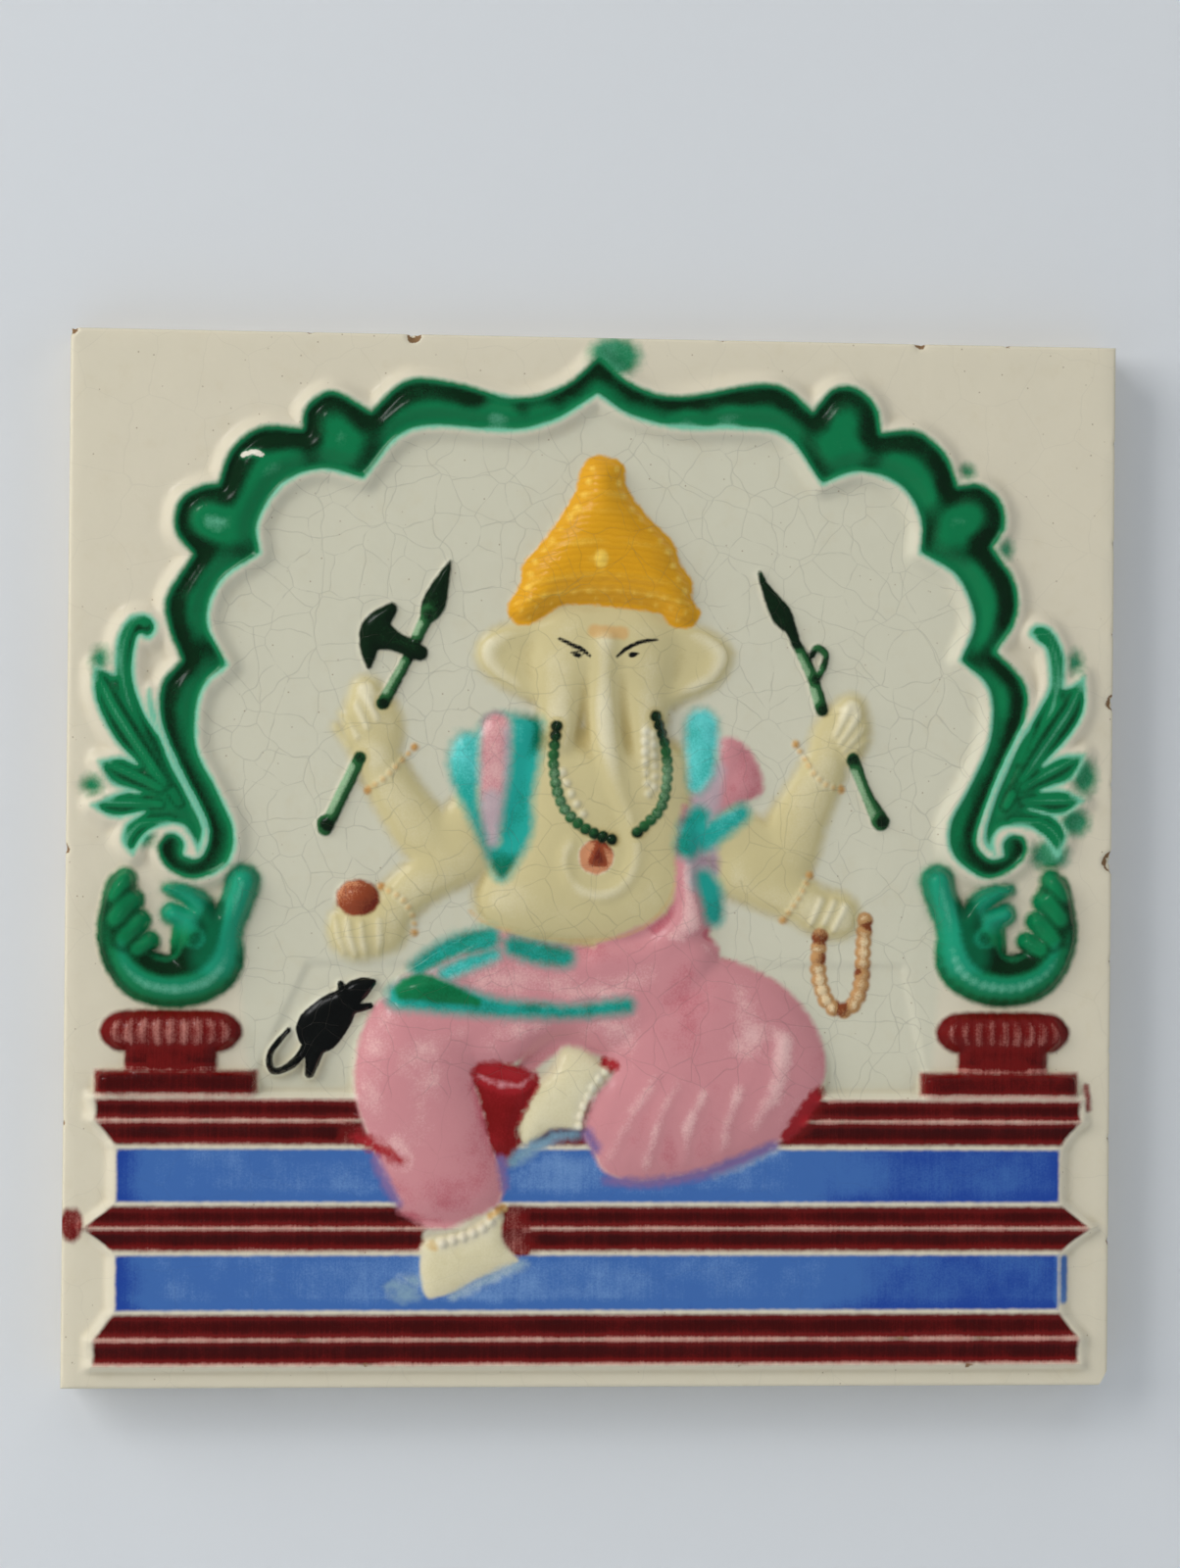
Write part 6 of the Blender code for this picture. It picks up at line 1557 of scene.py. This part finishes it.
def buildBackdrop():
    # a pale wall that runs down in a curve into the floor
    sheet = bmesh.new()
    ends = [sheet.verts.new((x, stage["wall"], stage["top"]))
            for x in (-stage["half"], stage["half"])]
    edge = sheet.edges.new(ends)
    made = bmesh.ops.extrude_edge_only(sheet, edges=[edge])["geom"]
    for v in only(bmesh.types.BMVert, made):
        v.co.z = stage["turn"]
    low = only(bmesh.types.BMEdge, made)
    pivot = (0.0, stage["wall"] - stage["radius"], stage["turn"])
    arc = bmesh.ops.spin(sheet, geom=low + list(low[0].verts), cent=pivot,
                         axis=(1.0, 0.0, 0.0), angle=-math.pi / 2, steps=16)["geom_last"]
    made = bmesh.ops.extrude_edge_only(sheet, edges=only(bmesh.types.BMEdge, arc))["geom"]
    for v in only(bmesh.types.BMVert, made):
        v.co.y = stage["front"]
    bmesh.ops.recalc_face_normals(sheet, faces=sheet.faces)
    sheet.faces.ensure_lookup_table()
    if sheet.faces[0].normal.y > 0.0:
        bmesh.ops.reverse_faces(sheet, faces=sheet.faces)
    mesh = bpy.data.meshes.new("backdrop")
    sheet.to_mesh(mesh)
    sheet.free()
    mesh.shade_smooth()
    backdrop = addObject("backdrop", mesh)
    finish = Finish("pale_paper")
    place = finish.node("ShaderNodeTexCoord", output="Object")
    cloud = finish.noise(place, 6.0, 3.0)
    finish.put(Base_Color=finish.mix(cloud, *stage["tones"]), Roughness=0.9)
    # its back is clear, so that the tile can be seen from behind
    clear = finish.node("ShaderNodeBsdfTransparent")
    behind = finish.node("ShaderNodeNewGeometry", output="Backfacing")
    paper = Link(finish.tree, finish.shader.outputs[0])
    mixed = finish.node("ShaderNodeMixShader", None, {0: behind, 1: paper, 2: clear})
    plug(finish.tree, finish.tree.nodes["Material Output"].inputs[0], mixed)
    mesh.materials.append(finish.material)
    backdrop.visible_glossy = False  # its grey mirror image would veil the deep glazes
    backdrop.visible_shadow = False  # so that the lamp behind it lights the tile's back


# each lamp's place, size, power and colour; all are aimed at the tile
lamps = {
    "window_left": ((-1.25, -0.68, 0.6), 1.2, 17.6, (1.0, 0.985, 0.96)),
    "fill_right": ((1.3, -0.8, 0.1), 1.2, 4.2, (0.94, 0.97, 1.0)),
    "fill_top": ((0.1, -0.8, 1.3), 1.2, 5.1, (0.95, 0.98, 1.0)),
    "soft_back": ((0.3, 0.9, 0.5), 0.8, 3.7, (1.0, 1.0, 1.0)),
    "glint": ((-0.8, -1.0, 0.9), 0.35, 1.2, (1.0, 1.0, 1.0)),
}


def addLamp(name, place, size, power, colour):
    light = bpy.data.lights.new(name, "AREA")
    light.size, light.energy, light.color = size, power, colour
    lamp = addObject(name, light)
    lamp.location = place
    lamp.rotation_euler = (-lamp.location).to_track_quat("-Z", "Y").to_euler()
    lamp.visible_glossy = name == "glint"  # the broad ones would veil the glaze


buildBackdrop()
for name, settings in lamps.items():
    addLamp(name, *settings)

world = bpy.data.worlds.new("pale_room")
world.use_nodes = True
background = world.node_tree.nodes["Background"].inputs
background["Color"].default_value = (0.86, 0.92, 1.0, 1.0)
background["Strength"].default_value = 0.11
bpy.context.scene.world = world
bpy.context.scene.view_settings.view_transform = "Standard"

camera = bpy.data.cameras.new("photo_camera")
camera.lens, camera.sensor_width = view["lens"], view["sensor"]
cameraObject = addObject("photo_camera", camera)
cameraObject.location = view["place"]
cameraObject.rotation_euler = [math.radians(turn) for turn in view["turns"]]
bpy.context.scene.camera = cameraObject
